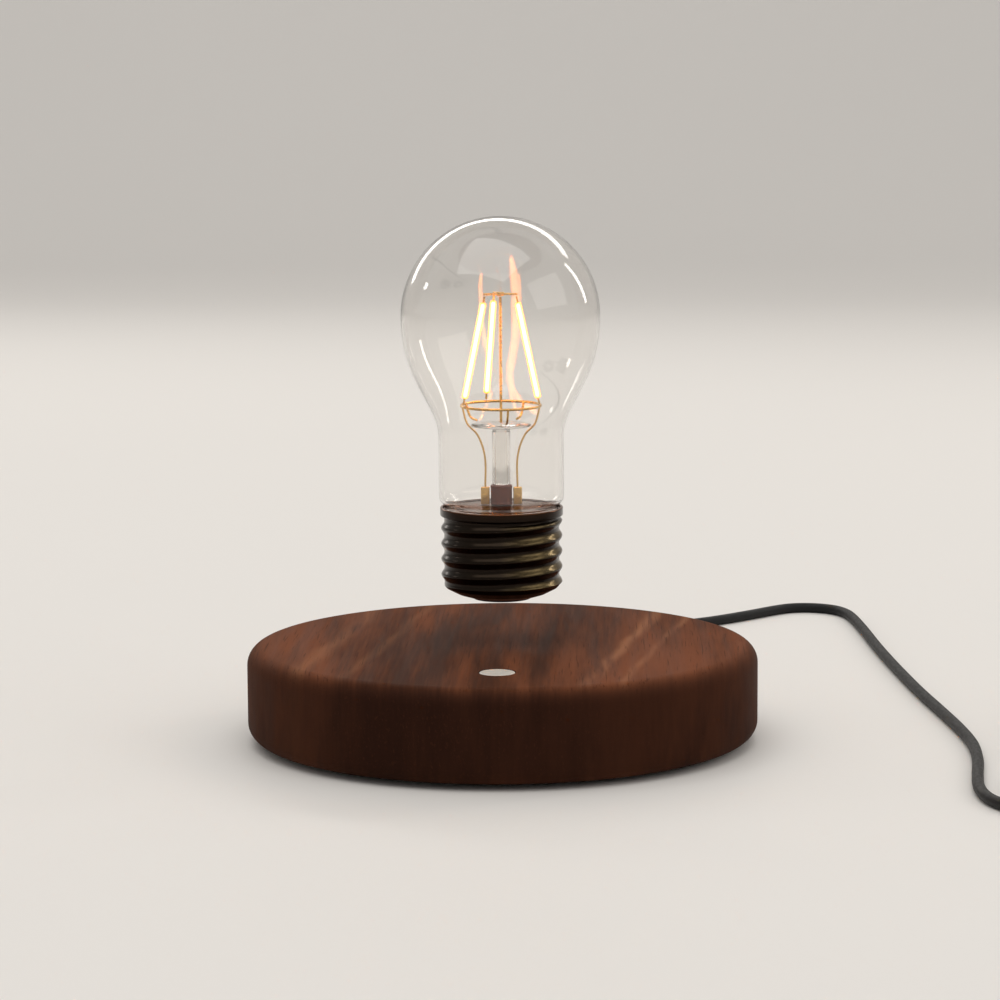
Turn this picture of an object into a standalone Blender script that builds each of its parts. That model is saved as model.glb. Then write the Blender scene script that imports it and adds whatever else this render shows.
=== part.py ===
"""Levitating lamp: a turned walnut base that holds an LED bulb in the air with magnets.

All lengths are in metres and +Z is up. The origin lies on the table under the middle of the
base. The touch pad faces -Y and the power socket faces +Y.
"""

import math

import bmesh
import bpy
from mathutils import Vector

# Driving dimensions of the base
base_diameter = 0.155
wood_height = 0.028
foot_height = 0.0015

# Driving dimensions of the bulb
levitation_gap = 0.0133
glass_diameter = 0.060
cap_diameter = 0.0372
cap_height = 0.0285
bulb_height = 0.1162

# Driving dimensions of the lead
cord_diameter = 0.0035
lead_length = 1.5

# Gap between pieces that touch, and how far a cut runs past its piece
clearance = 0.0003
overrun = 0.001

# Distance within which points are welded
weld_distance = 0.00001

# Walls and edges of the wooden base
top_edge_radius = 0.0055
bottom_edge_radius = 0.005
wood_top_thickness = 0.004
wood_wall_thickness = 0.0135
ledge_width = 0.0065

base_radius = base_diameter / 2
wood_bottom = foot_height
wood_top = wood_bottom + wood_height
cavity_radius = base_radius - wood_wall_thickness
cavity_top = wood_top - wood_top_thickness
ledge_radius = cavity_radius + ledge_width

# Bottom cover
cover_thickness = 0.002
boss_radius = 0.0042
boss_height = 0.0028

cover_radius = ledge_radius - clearance
cover_top = wood_bottom + cover_thickness
ledge_height = cover_top + clearance

# Rubber feet, pushed into the cover
foot_radius = 0.006
foot_stem_radius = 0.002
foot_stem_rise = 0.001
foot_edge = 0.0005
foot_inset = 0.001
foot_angles = (45, 135, 225, 315)

foot_circle_radius = cavity_radius - foot_radius - foot_inset

# Screws that hold the cover to the wood
cover_screw_head_radius = 0.0025
cover_screw_head_height = 0.0011
cover_screw_shank_radius = 0.0012
cover_screw_length = 0.0085
screw_slot_width = 0.0007
screw_slot_depth = 0.0006
screw_edge = 0.0003

cover_screw_circle_radius = (cavity_radius + ledge_radius) / 2

# Control board and what stands on it
board_thickness = 0.0016
board_inset = 0.006
driver_chip_size = (0.007, 0.007, 0.0014)
driver_chip_angle = 75
capacitor_radius = 0.0032
capacitor_height = 0.008
capacitor_edge = 0.0004
capacitor_angle = 215
hall_sensor_size = (0.0041, 0.0015, 0.003)
hall_sensor_spacing = 0.0034

board_bottom = cover_top + boss_height + clearance
board_top = board_bottom + board_thickness
board_radius = cavity_radius - board_inset

# Screws that clamp the board and the coil carrier to the cover
module_screw_head_radius = 0.0026
module_screw_head_height = 0.0014
module_screw_shank_radius = 0.0014
module_screw_grip = 0.007
module_screw_inset = 0.008
module_screw_angles = (30, 150, 270)

module_screw_circle_radius = board_radius - module_screw_inset

# Coil carrier
carrier_leg_radius = 0.00375
carrier_thickness = 0.0015
carrier_rim = 0.002
carrier_eye_radius = 0.005

carrier_radius = module_screw_circle_radius + carrier_leg_radius + carrier_rim

# Transmitter coil under the wooden top, and its ferrite shield
transmitter_thickness = 0.002
transmitter_width = 0.0195
shield_thickness = 0.001
shield_overlap = 0.001

transmitter_top = cavity_top - clearance
transmitter_bottom = transmitter_top - transmitter_thickness
shield_top = transmitter_bottom - clearance
shield_bottom = shield_top - shield_thickness
carrier_top = shield_bottom - clearance
carrier_bottom = carrier_top - carrier_thickness

# Ring magnet and levitation coils, between the board and the carrier
magnet_ring_width_share = 0.285
coil_bore_share = 0.27
coil_flange_thickness = 0.0008
coil_flange_lip = 0.0008
coil_spacing = 0.0006
coil_angles = (0, 90, 180, 270)

magnet_ring_radius = module_screw_circle_radius - carrier_leg_radius - 2 * clearance
magnet_ring_bore = magnet_ring_radius * (1 - magnet_ring_width_share)
coil_radius = (magnet_ring_bore - 2 * coil_spacing) / (1 + math.sqrt(2))
coil_circle_radius = magnet_ring_bore - coil_spacing - coil_radius
coil_bore_radius = coil_radius * coil_bore_share

# Touch pad and its contact post
touch_pad_radius = 0.0052
touch_pad_thickness = 0.0016
touch_pad_edge = 0.0003
touch_pad_inset = 0.0285
touch_post_radius = 0.0015
touch_post_margin = 0.002

touch_pad_distance = base_radius - touch_pad_inset
transmitter_radius = touch_pad_distance - touch_post_radius - touch_post_margin

# Power socket, its pin and nut
jack_inset = 0.001
jack_flange_radius = 0.0065
jack_flange_thickness = 0.001
jack_body_radius = 0.005
jack_bore_radius = 0.0032
jack_bore_depth = 0.0105
jack_tail = 0.0015
jack_pin_radius = 0.001
jack_pin_recess = 0.0015
nut_radius = 0.0075
nut_thickness = 0.0025

jack_height = (cover_top + cavity_top) / 2
jack_face = base_radius - jack_inset
nut_face = math.sqrt(cavity_radius ** 2 - nut_radius ** 2) - clearance
jack_length = jack_face - nut_face + nut_thickness + jack_tail

# Screw cap of the bulb, measured up from the bottom of its contact button
cap_wall = 0.0008
cap_collar_height = 0.003
cap_round = 0.0003
thread_pitch = 0.0047
thread_crest_radius = 0.01835
thread_root_radius = 0.0174
thread_phase_height = 0.0197
thread_fade = 0.0012
thread_sharpness_share = 1.4
thread_bottom = 0.0045
cap_turn_in = 0.0006
cap_shoulder_radius = 0.0135
cap_shoulder_height = 0.0022
cap_mouth_radius = 0.0092
cap_mouth_height = 0.0009

cap_radius = cap_diameter / 2
thread_top = cap_height - cap_collar_height
bulb_bottom = wood_top + levitation_gap

# Contact button and its insulator
insulator_bore_radius = 0.0056
insulator_drop = 0.0004
insulator_height = 0.0014
contact_height = 0.0017
contact_edge = 0.0008

# Bobbin, floating magnet and receiver coil inside the cap
bobbin_wall = 0.0008
bobbin_floor_rise = 0.0008
bobbin_shoulder = 0.0018
bobbin_height = 0.0096
float_magnet_radius = 0.011
float_magnet_edge = 0.0005
receiver_coil_inset = 0.0003
receiver_board_thickness = 0.0012
receiver_board_margin = 0.0005

cap_bore_radius = thread_root_radius - cap_wall
bobbin_radius = cap_bore_radius - bobbin_shoulder / 2 - clearance / 2
bobbin_floor_bottom = thread_bottom + clearance
bobbin_floor_top = bobbin_floor_bottom + bobbin_floor_rise
bobbin_top = bobbin_floor_bottom + bobbin_height
bobbin_bore_radius = float_magnet_radius + clearance
bobbin_tube_radius = bobbin_bore_radius + bobbin_wall

# Plate that closes the cap
plate_thickness = 0.0012
plate_drop = 0.0004
plate_step_radius = 0.0136
plate_step_height = 0.0005
plate_edge = 0.0002

plate_radius = cap_radius - cap_wall - clearance
plate_top = cap_height - plate_drop
plate_bottom = plate_top - plate_thickness
plate_seat = plate_bottom - clearance
plate_crown = plate_top + plate_step_height

# Centre post and brass terminals on the plate
post_radius = 0.0033
post_height = 0.0062
post_edge = 0.0003
terminal_size = (0.0026, 0.0018, 0.0056)
terminal_angles = (0, 180)
lead_wire_radius = 0.0003

post_bottom = plate_crown + clearance
post_top = post_bottom + post_height
terminal_distance = post_radius + clearance + terminal_size[0] / 2

# Glass of the bulb
glass_wall = 0.0007
glass_neck_radius = 0.0189
glass_neck_top = 0.0494
glass_foot_height = 0.0035
glass_shoulder_handle = 0.0205
glass_neck_handle = 0.011
glass_foot_inset = 0.0002
glass_foot_handle_share = 0.6

glass_radius = glass_diameter / 2
glass_equator = bulb_height - glass_radius
glass_foot_radius = plate_radius - glass_foot_inset
glass_foot_bottom = plate_top + clearance

# Glass stem and its flared press
stem_radius = 0.00275
stem_bore_radius = 0.0018
flare_radius = 0.009
flare_height = 0.0019
flare_edge = 0.0004
flare_top = 0.0539

flare_bottom = flare_top - flare_height

# Wire ring, rod, hub and LED bars
ring_radius = 0.012
ring_wire_radius = 0.0004
ring_height = 0.0594
ring_leg_radius = 0.00035
ring_leg_inset = 0.0009
ring_leg_angles = (56, 155, 282)
rod_radius = 0.0004
rod_edge = 0.0001
hub_radius = 0.0012
hub_thickness = 0.0012
hub_height = 0.0929
hub_arm_radius = 0.00035
hub_arm_reach = 0.0050
led_angles = (346, 114, 202)
led_bar_radius = 0.00095
led_tab_radius = 0.0003
led_tab_length = 0.0019
led_bar_edge = 0.0003

# Barrel plug of the lead
plug_body_radius = 0.0048
plug_body_length = 0.019
plug_taper_length = 0.013
plug_taper_radius = 0.0034
plug_edge = 0.0008
plug_barrel_radius = 0.00275
plug_barrel_bore = 0.0013
plug_barrel_length = 0.0095
plug_barrel_end_wall = 0.001

cord_radius = cord_diameter / 2
plug_tip_radius = cord_radius + 2 * clearance
plug_length = plug_body_length + plug_taper_length

# Coil of spare cord, and its tie
coil_turn_gap = 0.0008
coil_turns = 7.25
coil_points_per_turn = 24
coil_climb_turns = 0.5
coil_tail_length = 0.028
tie_thickness = 0.0009
tie_width = 0.006
tie_slack = 0.0006
tie_edge = 0.0002
tie_angle = 90

# Wall adapter
adapter_size = (0.038, 0.056, 0.025)
adapter_edge = 0.003
adapter_relief_radius = 0.0045
adapter_relief_length = 0.012
blade_size = (0.0015, 0.016, 0.0063)
blade_spacing = 0.0127
blade_edge = 0.0003

# Steps of the round pieces
base_steps = 60
bulb_steps = 32
glass_steps = 28
hidden_steps = 30
inner_steps = 24
small_steps = 10
thread_rings_per_turn = 6
route_fine_steps = 24
route_spacing_share = 2.9

# Route of the lead, from its plug to the coil
lead_route = [
    (0.0010, 0.1270, 0.0110),
    (0.0035, 0.1390, 0.0060),
    (0.0085, 0.1505, 0.0028),
    (0.0165, 0.1610, 0.00175),
    (0.0275, 0.1705, 0.00175),
    (0.0405, 0.1795, 0.00175),
    (0.0545, 0.1880, 0.00175),
    (0.0680, 0.1970, 0.00175),
    (0.0810, 0.2090, 0.00175),
    (0.0930, 0.2215, 0.00175),
    (0.0997, 0.2260, 0.00175),
    (0.1073, 0.2260, 0.00175),
    (0.1138, 0.2220, 0.00175),
    (0.1177, 0.2150, 0.00175),
    (0.1198, 0.2040, 0.00175),
    (0.1220, 0.1800, 0.00175),
    (0.1247, 0.1420, 0.00175),
    (0.1280, 0.1045, 0.00175),
    (0.1322, 0.0640, 0.00175),
    (0.1365, 0.0300, 0.00175),
    (0.1396, 0.0035, 0.00175),
    (0.1411, -0.0180, 0.00175),
    (0.1404, -0.0400, 0.00175),
    (0.1383, -0.0610, 0.00175),
    (0.1371, -0.0780, 0.00175),
    (0.1385, -0.0920, 0.00175),
    (0.1435, -0.1030, 0.0020),
    (0.1520, -0.1100, 0.0026),
    (0.1620, -0.1120, 0.00295),
    (0.1740, -0.1120, 0.00295),
]


def clear_scene():
    """Removes what a new Blender file holds."""
    for old_object in list(bpy.data.objects):
        bpy.data.objects.remove(old_object, do_unlink=True)


def new_collection(name):
    collection = bpy.data.collections.new(name)
    bpy.context.scene.collection.children.link(collection)
    return collection


def new_material(name, colour, roughness, metallic=0.0):
    """A plain Principled material."""
    material = bpy.data.materials.new(name)
    material.use_nodes = True
    shader = material.node_tree.nodes["Principled BSDF"]
    shader.inputs["Base Color"].default_value = (*colour, 1.0)
    shader.inputs["Roughness"].default_value = roughness
    shader.inputs["Metallic"].default_value = metallic
    material.diffuse_color = (*colour, 1.0)
    return material


def place(name, mesh, material, parent, location=(0, 0, 0), rotation=(0, 0, 0)):
    """Puts a mesh into the model as one named sub-part."""
    part = bpy.data.objects.new(name, mesh)
    part.parent = parent
    part.location = location
    part.rotation_euler = rotation
    if not mesh.materials:
        mesh.materials.append(material)
    parts.objects.link(part)
    return part


def cutter(name, mesh, parent, location=(0, 0, 0), rotation=(0, 0, 0)):
    """A hidden solid that a Boolean uses."""
    tool = bpy.data.objects.new(name, mesh)
    tool.parent = parent
    tool.location = location
    tool.rotation_euler = rotation
    tool.hide_render = True
    tool.display_type = "WIRE"
    cutters.objects.link(tool)
    return tool


def combine(part, tool, operation):
    """Adds a Boolean of the given operation to a part."""
    boolean = part.modifiers.new(tool.name, "BOOLEAN")
    boolean.operation = operation
    boolean.solver = "EXACT"
    boolean.object = tool


def around(radius, degrees):
    """The point on a circle about the Z axis, at an angle from +X."""
    angle = math.radians(degrees)
    return radius * math.cos(angle), radius * math.sin(angle)


def arc(centre_radius, centre_height, radius, start, end, steps):
    """Points of an arc in an outline, from one angle to another in degrees."""
    points = []
    for step in range(steps + 1):
        angle = math.radians(start + (end - start) * step / steps)
        across = radius * math.cos(angle)
        points.append((centre_radius + across, centre_height + radius * math.sin(angle)))
    return points


def outline_mesh(name, outline, closed):
    """A mesh of loose edges along an outline of (radius, height) points."""
    vertices = [(radius, 0, height) for radius, height in outline]
    edges = [(index, index + 1) for index in range(len(outline) - 1)]
    if closed:
        edges.append((len(outline) - 1, 0))
    mesh = bpy.data.meshes.new(name)
    mesh.from_pydata(vertices, edges, [])
    return mesh


def add_screw(part, steps):
    """Turns an outline about its local Z axis."""
    screw = part.modifiers.new("turn", "SCREW")
    screw.steps = steps
    screw.render_steps = steps
    screw.use_merge_vertices = True
    screw.merge_threshold = weld_distance
    screw.use_smooth_shade = True


def turned(name, outline, material, parent, steps, location=(0, 0, 0), rotation=(0, 0, 0), closed=False):
    """A turned piece. The outline runs down its outer side, and is closed for a ring."""
    part = place(name, outline_mesh(name, outline, closed), material, parent, location, rotation)
    add_screw(part, steps)
    return part


def ring_outline(bore, radius, low, high, edge):
    """The closed outline of a ring with chamfered edges."""
    return [
        (bore + edge, high),
        (radius - edge, high),
        (radius, high - edge),
        (radius, low + edge),
        (radius - edge, low),
        (bore + edge, low),
        (bore, low + edge),
        (bore, high - edge),
    ]


def band_outline(bore, radius, low, high):
    """The closed outline of a plain ring."""
    return [(radius, high), (radius, low), (bore, low), (bore, high)]


def disc_outline(radius, low, high, edge):
    """The outline of a disc with chamfered edges."""
    return [
        (0, high),
        (radius - edge, high),
        (radius, high - edge),
        (radius, low + edge),
        (radius - edge, low),
        (0, low),
    ]


def cylinder_mesh(name, radius, low, high, steps):
    """A closed cylinder along Z between two heights."""
    shape = bmesh.new()
    depth = high - low
    bmesh.ops.create_cone(
        shape, cap_ends=True, segments=steps, radius1=radius, radius2=radius, depth=depth
    )
    bmesh.ops.translate(shape, verts=shape.verts, vec=(0, 0, (low + high) / 2))
    mesh = bpy.data.meshes.new(name)
    shape.to_mesh(mesh)
    shape.free()
    return mesh


def box_mesh(name, size):
    """A box of the given size about its own origin."""
    shape = bmesh.new()
    bmesh.ops.create_cube(shape, size=1)
    bmesh.ops.scale(shape, verts=shape.verts, vec=size)
    mesh = bpy.data.meshes.new(name)
    shape.to_mesh(mesh)
    shape.free()
    return mesh


def add_bevel(part, width, segments):
    bevel = part.modifiers.new("edges", "BEVEL")
    bevel.width = width
    bevel.segments = segments
    bevel.limit_method = "ANGLE"


def drill(part, parent, radius, low, high, centre, steps=small_steps):
    """Cuts a round hole along Z."""
    mesh = cylinder_mesh(part.name + " hole", radius, low, high, steps)
    combine(part, cutter(mesh.name, mesh, parent, (*centre, 0)), "DIFFERENCE")


def finished_mesh(part):
    """The mesh of a part with its modifiers applied. The part itself is removed."""
    graph = bpy.context.evaluated_depsgraph_get()
    mesh = bpy.data.meshes.new_from_object(part.evaluated_get(graph))
    mesh.name = part.name
    bpy.data.objects.remove(part, do_unlink=True)
    return mesh


def tube_curve(name, points, radius, resolution, cyclic=False):
    """A round tube along straight runs between points."""
    curve = bpy.data.curves.new(name, "CURVE")
    curve.dimensions = "3D"
    curve.bevel_depth = radius
    curve.bevel_resolution = resolution
    curve.render_resolution_u = 0
    curve.use_fill_caps = not cyclic
    spline = curve.splines.new("POLY")
    spline.points.add(len(points) - 1)
    for point, place_of_point in zip(spline.points, points):
        point.co = (*place_of_point, 1)
    spline.use_cyclic_u = cyclic
    return curve


def tube_mesh(name, points, radius, resolution, cyclic=False):
    """A welded mesh of a tube, for joining."""
    holder = bpy.data.objects.new(name, tube_curve(name, points, radius, resolution, cyclic))
    cutters.objects.link(holder)
    mesh = finished_mesh(holder)
    shape = bmesh.new()
    shape.from_mesh(mesh)
    bmesh.ops.remove_doubles(shape, verts=shape.verts, dist=weld_distance)
    bmesh.ops.recalc_face_normals(shape, faces=shape.faces)
    shape.to_mesh(mesh)
    shape.free()
    return mesh


def make_wood_base(frame):
    """The turned walnut shell, open below, with a ledge for its cover."""
    top_centre = (base_radius - top_edge_radius, wood_top - top_edge_radius)
    bottom_centre = (base_radius - bottom_edge_radius, wood_bottom + bottom_edge_radius)
    edge_top = arc(*top_centre, top_edge_radius, 90, 0, 5)
    edge_bottom = arc(*bottom_centre, bottom_edge_radius, 0, -90, 4)
    inside = [
        (ledge_radius, wood_bottom),
        (ledge_radius, ledge_height),
        (cavity_radius, ledge_height),
        (cavity_radius, cavity_top),
        (0, cavity_top),
    ]
    walnut = new_material("walnut", (0.10, 0.042, 0.022), 0.45)
    outline = [(0, wood_top)] + edge_top + edge_bottom + inside
    wood = turned("wood_base", outline, walnut, frame, base_steps)

    pilot_top = wood_bottom + cover_screw_length + clearance
    for degrees in foot_angles:
        centre = around(cover_screw_circle_radius, degrees)
        drill(wood, frame, cover_screw_shank_radius + clearance, wood_bottom, pilot_top, centre)

    pad_floor = wood_top - touch_pad_thickness - clearance
    pad_centre = (0, -touch_pad_distance)
    pad_hole_radius = touch_pad_radius + clearance
    drill(wood, frame, pad_hole_radius, pad_floor, wood_top + overrun, pad_centre, inner_steps)
    drill(wood, frame, touch_post_radius + clearance, cavity_top - overrun, wood_top, pad_centre)

    flange_seat = -jack_flange_thickness - clearance
    bore_radius = jack_body_radius + clearance
    seat_radius = jack_flange_radius + clearance
    bore_low = -wood_wall_thickness - overrun
    socket_mesh = cylinder_mesh("socket bore", bore_radius, bore_low, overrun, inner_steps)
    seat_mesh = cylinder_mesh("socket seat", seat_radius, flange_seat, jack_inset + overrun, inner_steps)
    for mesh in (socket_mesh, seat_mesh):
        tool = cutter(mesh.name, mesh, frame, (0, jack_face, jack_height), (-math.pi / 2, 0, 0))
        combine(wood, tool, "DIFFERENCE")


def make_bottom_cover(frame):
    """The cover with three bosses that carry the board."""
    plastic = new_material("cover plastic", (0.02, 0.02, 0.02), 0.5)
    outline = disc_outline(cover_radius, wood_bottom, cover_top, clearance)
    cover = turned("bottom_cover", outline, plastic, frame, hidden_steps)
    cut_low = wood_bottom - overrun
    cut_top = cover_top + overrun
    boss_low = wood_bottom + cover_thickness / 2
    boss_top = cover_top + boss_height
    for degrees in module_screw_angles:
        centre = around(module_screw_circle_radius, degrees)
        boss = cylinder_mesh("cover boss", boss_radius, boss_low, boss_top, small_steps)
        combine(cover, cutter(boss.name, boss, frame, (*centre, 0)), "UNION")
        head_top = wood_bottom + module_screw_head_height + clearance
        drill(cover, frame, module_screw_shank_radius + clearance, cut_low, boss_top + overrun, centre)
        drill(cover, frame, module_screw_head_radius + clearance, cut_low, head_top, centre)
    for degrees in foot_angles:
        screw_centre = around(cover_screw_circle_radius, degrees)
        head_top = wood_bottom + cover_screw_head_height + clearance
        drill(cover, frame, cover_screw_shank_radius + clearance, cut_low, cut_top, screw_centre)
        drill(cover, frame, cover_screw_head_radius + clearance, cut_low, head_top, screw_centre)
        foot_centre = around(foot_circle_radius, degrees)
        drill(cover, frame, foot_stem_radius + clearance, cut_low, cut_top, foot_centre)


def make_feet(frame):
    """Four low rubber feet, each with a stem through the cover."""
    rubber = new_material("foot rubber", (0.015, 0.015, 0.015), 0.8)
    pad_top = foot_height - clearance
    stem_top = cover_top + foot_stem_rise
    outline = [
        (0, stem_top),
        (foot_stem_radius, stem_top),
        (foot_stem_radius, pad_top),
        (foot_radius, pad_top),
        (foot_radius, foot_edge),
        (foot_radius - foot_edge, 0),
        (0, 0),
    ]
    for number, degrees in enumerate(foot_angles, 1):
        centre = around(foot_circle_radius, degrees)
        turned(f"rubber_foot_{number}", outline, rubber, frame, small_steps, (*centre, 0))


def screw_mesh(name, frame, head_radius, head_height, shank_radius, length):
    """A screw that points up from the outer face of its head, with a cross slot."""
    outline = [
        (0, length),
        (shank_radius / 2, length),
        (shank_radius, length - shank_radius),
        (shank_radius, head_height),
        (head_radius, head_height),
        (head_radius, screw_edge),
        (head_radius - screw_edge, 0),
        (0, 0),
    ]
    steel = new_material(name + " steel", (0.35, 0.35, 0.36), 0.35, 1.0)
    screw = turned(name, outline, steel, frame, small_steps)
    slot_length = head_radius * 2 - screw_edge * 4
    for turn in (0, math.pi / 2):
        mesh = box_mesh("slot", (slot_length, screw_slot_width, screw_slot_depth * 2))
        combine(screw, cutter("slot", mesh, frame, (0, 0, 0), (0, 0, turn)), "DIFFERENCE")
    bpy.context.view_layer.update()
    return finished_mesh(screw)


def make_screws(frame):
    """The cover screws and the longer module screws, their heads level with the cover."""
    cover_screw = screw_mesh(
        "cover screw",
        frame,
        cover_screw_head_radius,
        cover_screw_head_height,
        cover_screw_shank_radius,
        cover_screw_length,
    )
    for number, degrees in enumerate(foot_angles, 1):
        centre = around(cover_screw_circle_radius, degrees)
        place(f"cover_screw_{number}", cover_screw, None, frame, (*centre, wood_bottom))
    module_screw_length = board_top + clearance + module_screw_grip - wood_bottom
    module_screw = screw_mesh(
        "module screw",
        frame,
        module_screw_head_radius,
        module_screw_head_height,
        module_screw_shank_radius,
        module_screw_length,
    )
    for number, degrees in enumerate(module_screw_angles, 1):
        centre = around(module_screw_circle_radius, degrees)
        place(f"module_screw_{number}", module_screw, None, frame, (*centre, wood_bottom))


def make_control_board(frame):
    """The control board with its driver chip, capacitor and Hall sensors."""
    laminate = new_material("board laminate", (0.02, 0.09, 0.04), 0.4)
    board_outline = disc_outline(board_radius, board_bottom, board_top, clearance)
    board = turned("control_board", board_outline, laminate, frame, hidden_steps)
    hole_radius = module_screw_shank_radius + clearance
    for degrees in module_screw_angles:
        centre = around(module_screw_circle_radius, degrees)
        drill(board, frame, hole_radius, board_bottom - overrun, board_top + overrun, centre)

    shelf = board_top + clearance
    outer_circle_radius = (magnet_ring_radius + board_radius) / 2
    black = new_material("chip black", (0.02, 0.02, 0.022), 0.4)
    chip_height = shelf + driver_chip_size[2] / 2
    chip_place = (*around(outer_circle_radius, driver_chip_angle), chip_height)
    chip_turn = (0, 0, math.radians(driver_chip_angle))
    place("driver_chip", box_mesh("driver_chip", driver_chip_size), black, frame, chip_place, chip_turn)

    can = new_material("capacitor can", (0.6, 0.6, 0.62), 0.3, 1.0)
    can_outline = disc_outline(capacitor_radius, shelf, shelf + capacitor_height, capacitor_edge)
    can_place = (*around(outer_circle_radius, capacitor_angle), 0)
    turned("main_capacitor", can_outline, can, frame, small_steps, can_place)

    for number, side in enumerate((-1, 1), 1):
        name = f"hall_sensor_{number}"
        spot = (0, side * hall_sensor_spacing / 2, shelf + hall_sensor_size[2] / 2)
        place(name, box_mesh(name, hall_sensor_size), black, frame, spot)


def make_coil_carrier(frame):
    """The carrier plate over the magnets, on three legs that take the module screws."""
    nylon = new_material("carrier nylon", (0.55, 0.54, 0.5), 0.5)
    outline = band_outline(carrier_eye_radius, carrier_radius, carrier_bottom, carrier_top)
    carrier = turned("coil_carrier", outline, nylon, frame, hidden_steps, closed=True)
    leg_bottom = board_top + clearance
    leg_top = carrier_bottom + carrier_thickness / 2
    pilot_radius = module_screw_shank_radius + clearance
    pilot_top = leg_bottom + module_screw_grip + clearance
    for degrees in module_screw_angles:
        centre = around(module_screw_circle_radius, degrees)
        leg = cylinder_mesh("carrier leg", carrier_leg_radius, leg_bottom, leg_top, small_steps)
        combine(carrier, cutter(leg.name, leg, frame, (*centre, 0)), "UNION")
        drill(carrier, frame, pilot_radius, leg_bottom - overrun, pilot_top, centre)


def make_magnetics(frame):
    """The ring magnet, four levitation coils, and the transmitter coil on its shield."""
    low = board_top + clearance
    high = carrier_bottom - clearance
    ferrite = new_material("ferrite", (0.05, 0.05, 0.055), 0.55, 0.4)
    outline = band_outline(magnet_ring_bore, magnet_ring_radius, low, high)
    turned("magnet_ring", outline, ferrite, frame, hidden_steps, closed=True)

    copper = new_material("coil copper", (0.55, 0.22, 0.08), 0.35, 1.0)
    winding_radius = coil_radius - coil_flange_lip
    spool = [
        (coil_bore_radius, high),
        (coil_radius, high),
        (coil_radius, high - coil_flange_thickness),
        (winding_radius, high - coil_flange_thickness),
        (winding_radius, low + coil_flange_thickness),
        (coil_radius, low + coil_flange_thickness),
        (coil_radius, low),
        (coil_bore_radius, low),
    ]
    for number, degrees in enumerate(coil_angles, 1):
        centre = around(coil_circle_radius, degrees)
        turned(f"levitation_coil_{number}", spool, copper, frame, small_steps, (*centre, 0), closed=True)

    coil_bore = transmitter_radius - transmitter_width
    flat_coil = band_outline(coil_bore, transmitter_radius, transmitter_bottom, transmitter_top)
    turned("transmitter_coil", flat_coil, copper, frame, hidden_steps, closed=True)
    shield_bore = coil_bore - shield_overlap
    shield_radius = transmitter_radius + shield_overlap
    shield = band_outline(shield_bore, shield_radius, shield_bottom, shield_top)
    turned("transmitter_shield", shield, ferrite, frame, hidden_steps, closed=True)


def make_touch_pad(frame):
    """The metal pad, level with the wood, and the post that joins it to the carrier."""
    brass = new_material("touch metal", (0.75, 0.66, 0.55), 0.3, 1.0)
    centre = (0, -touch_pad_distance, 0)
    pad_bottom = wood_top - touch_pad_thickness
    pad = disc_outline(touch_pad_radius, pad_bottom, wood_top, touch_pad_edge)
    turned("touch_pad", pad, brass, frame, inner_steps, centre)
    post_low = carrier_top + clearance
    post = disc_outline(touch_post_radius, post_low, pad_bottom - clearance, touch_pad_edge)
    turned("touch_post", post, brass, frame, small_steps, centre)


def make_jack(frame):
    """The power socket in the back of the base, with its centre pin and nut."""
    back = (-math.pi / 2, 0, 0)
    face = (0, jack_face, jack_height)
    outline = [
        (0, -jack_bore_depth),
        (jack_bore_radius, -jack_bore_depth),
        (jack_bore_radius, 0),
        (jack_flange_radius, 0),
        (jack_flange_radius, -jack_flange_thickness),
        (jack_body_radius, -jack_flange_thickness),
        (jack_body_radius, -jack_length),
        (0, -jack_length),
    ]
    black = new_material("socket plastic", (0.02, 0.02, 0.02), 0.4)
    turned("dc_jack", outline, black, frame, inner_steps, face, back)

    nickel = new_material("nickel", (0.7, 0.68, 0.64), 0.25, 1.0)
    pin_outline = disc_outline(jack_pin_radius, -jack_bore_depth + clearance, -jack_pin_recess, clearance)
    turned("jack_pin", pin_outline, nickel, frame, small_steps, face, back)

    nut_top = nut_face - jack_face
    hexagon = cylinder_mesh("jack_nut", nut_radius, nut_top - nut_thickness, nut_top, 6)
    nut = place("jack_nut", hexagon, nickel, frame, face, back)
    bore = cylinder_mesh("nut bore", jack_body_radius + clearance, -jack_length, 0, inner_steps)
    combine(nut, cutter(bore.name, bore, frame, face, back), "DIFFERENCE")


def smooth_step(share):
    """Rises smoothly from 0 to 1 as its share does."""
    share = min(max(share, 0), 1)
    return share * share * (3 - 2 * share)


def thread_radius(radius, height, angle):
    """Radius of the cap's outer wall: root radius plus a helical ridge that fades out at both ends."""
    phase = 2 * math.pi * (height - thread_phase_height) / thread_pitch - angle
    ridge = ((1 + math.cos(phase)) / 2) ** thread_sharpness_share
    fade_in = smooth_step((height - thread_bottom) / thread_fade)
    fade_out = smooth_step((thread_top - height) / thread_fade)
    return radius + (thread_crest_radius - thread_root_radius) * ridge * fade_in * fade_out


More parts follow.
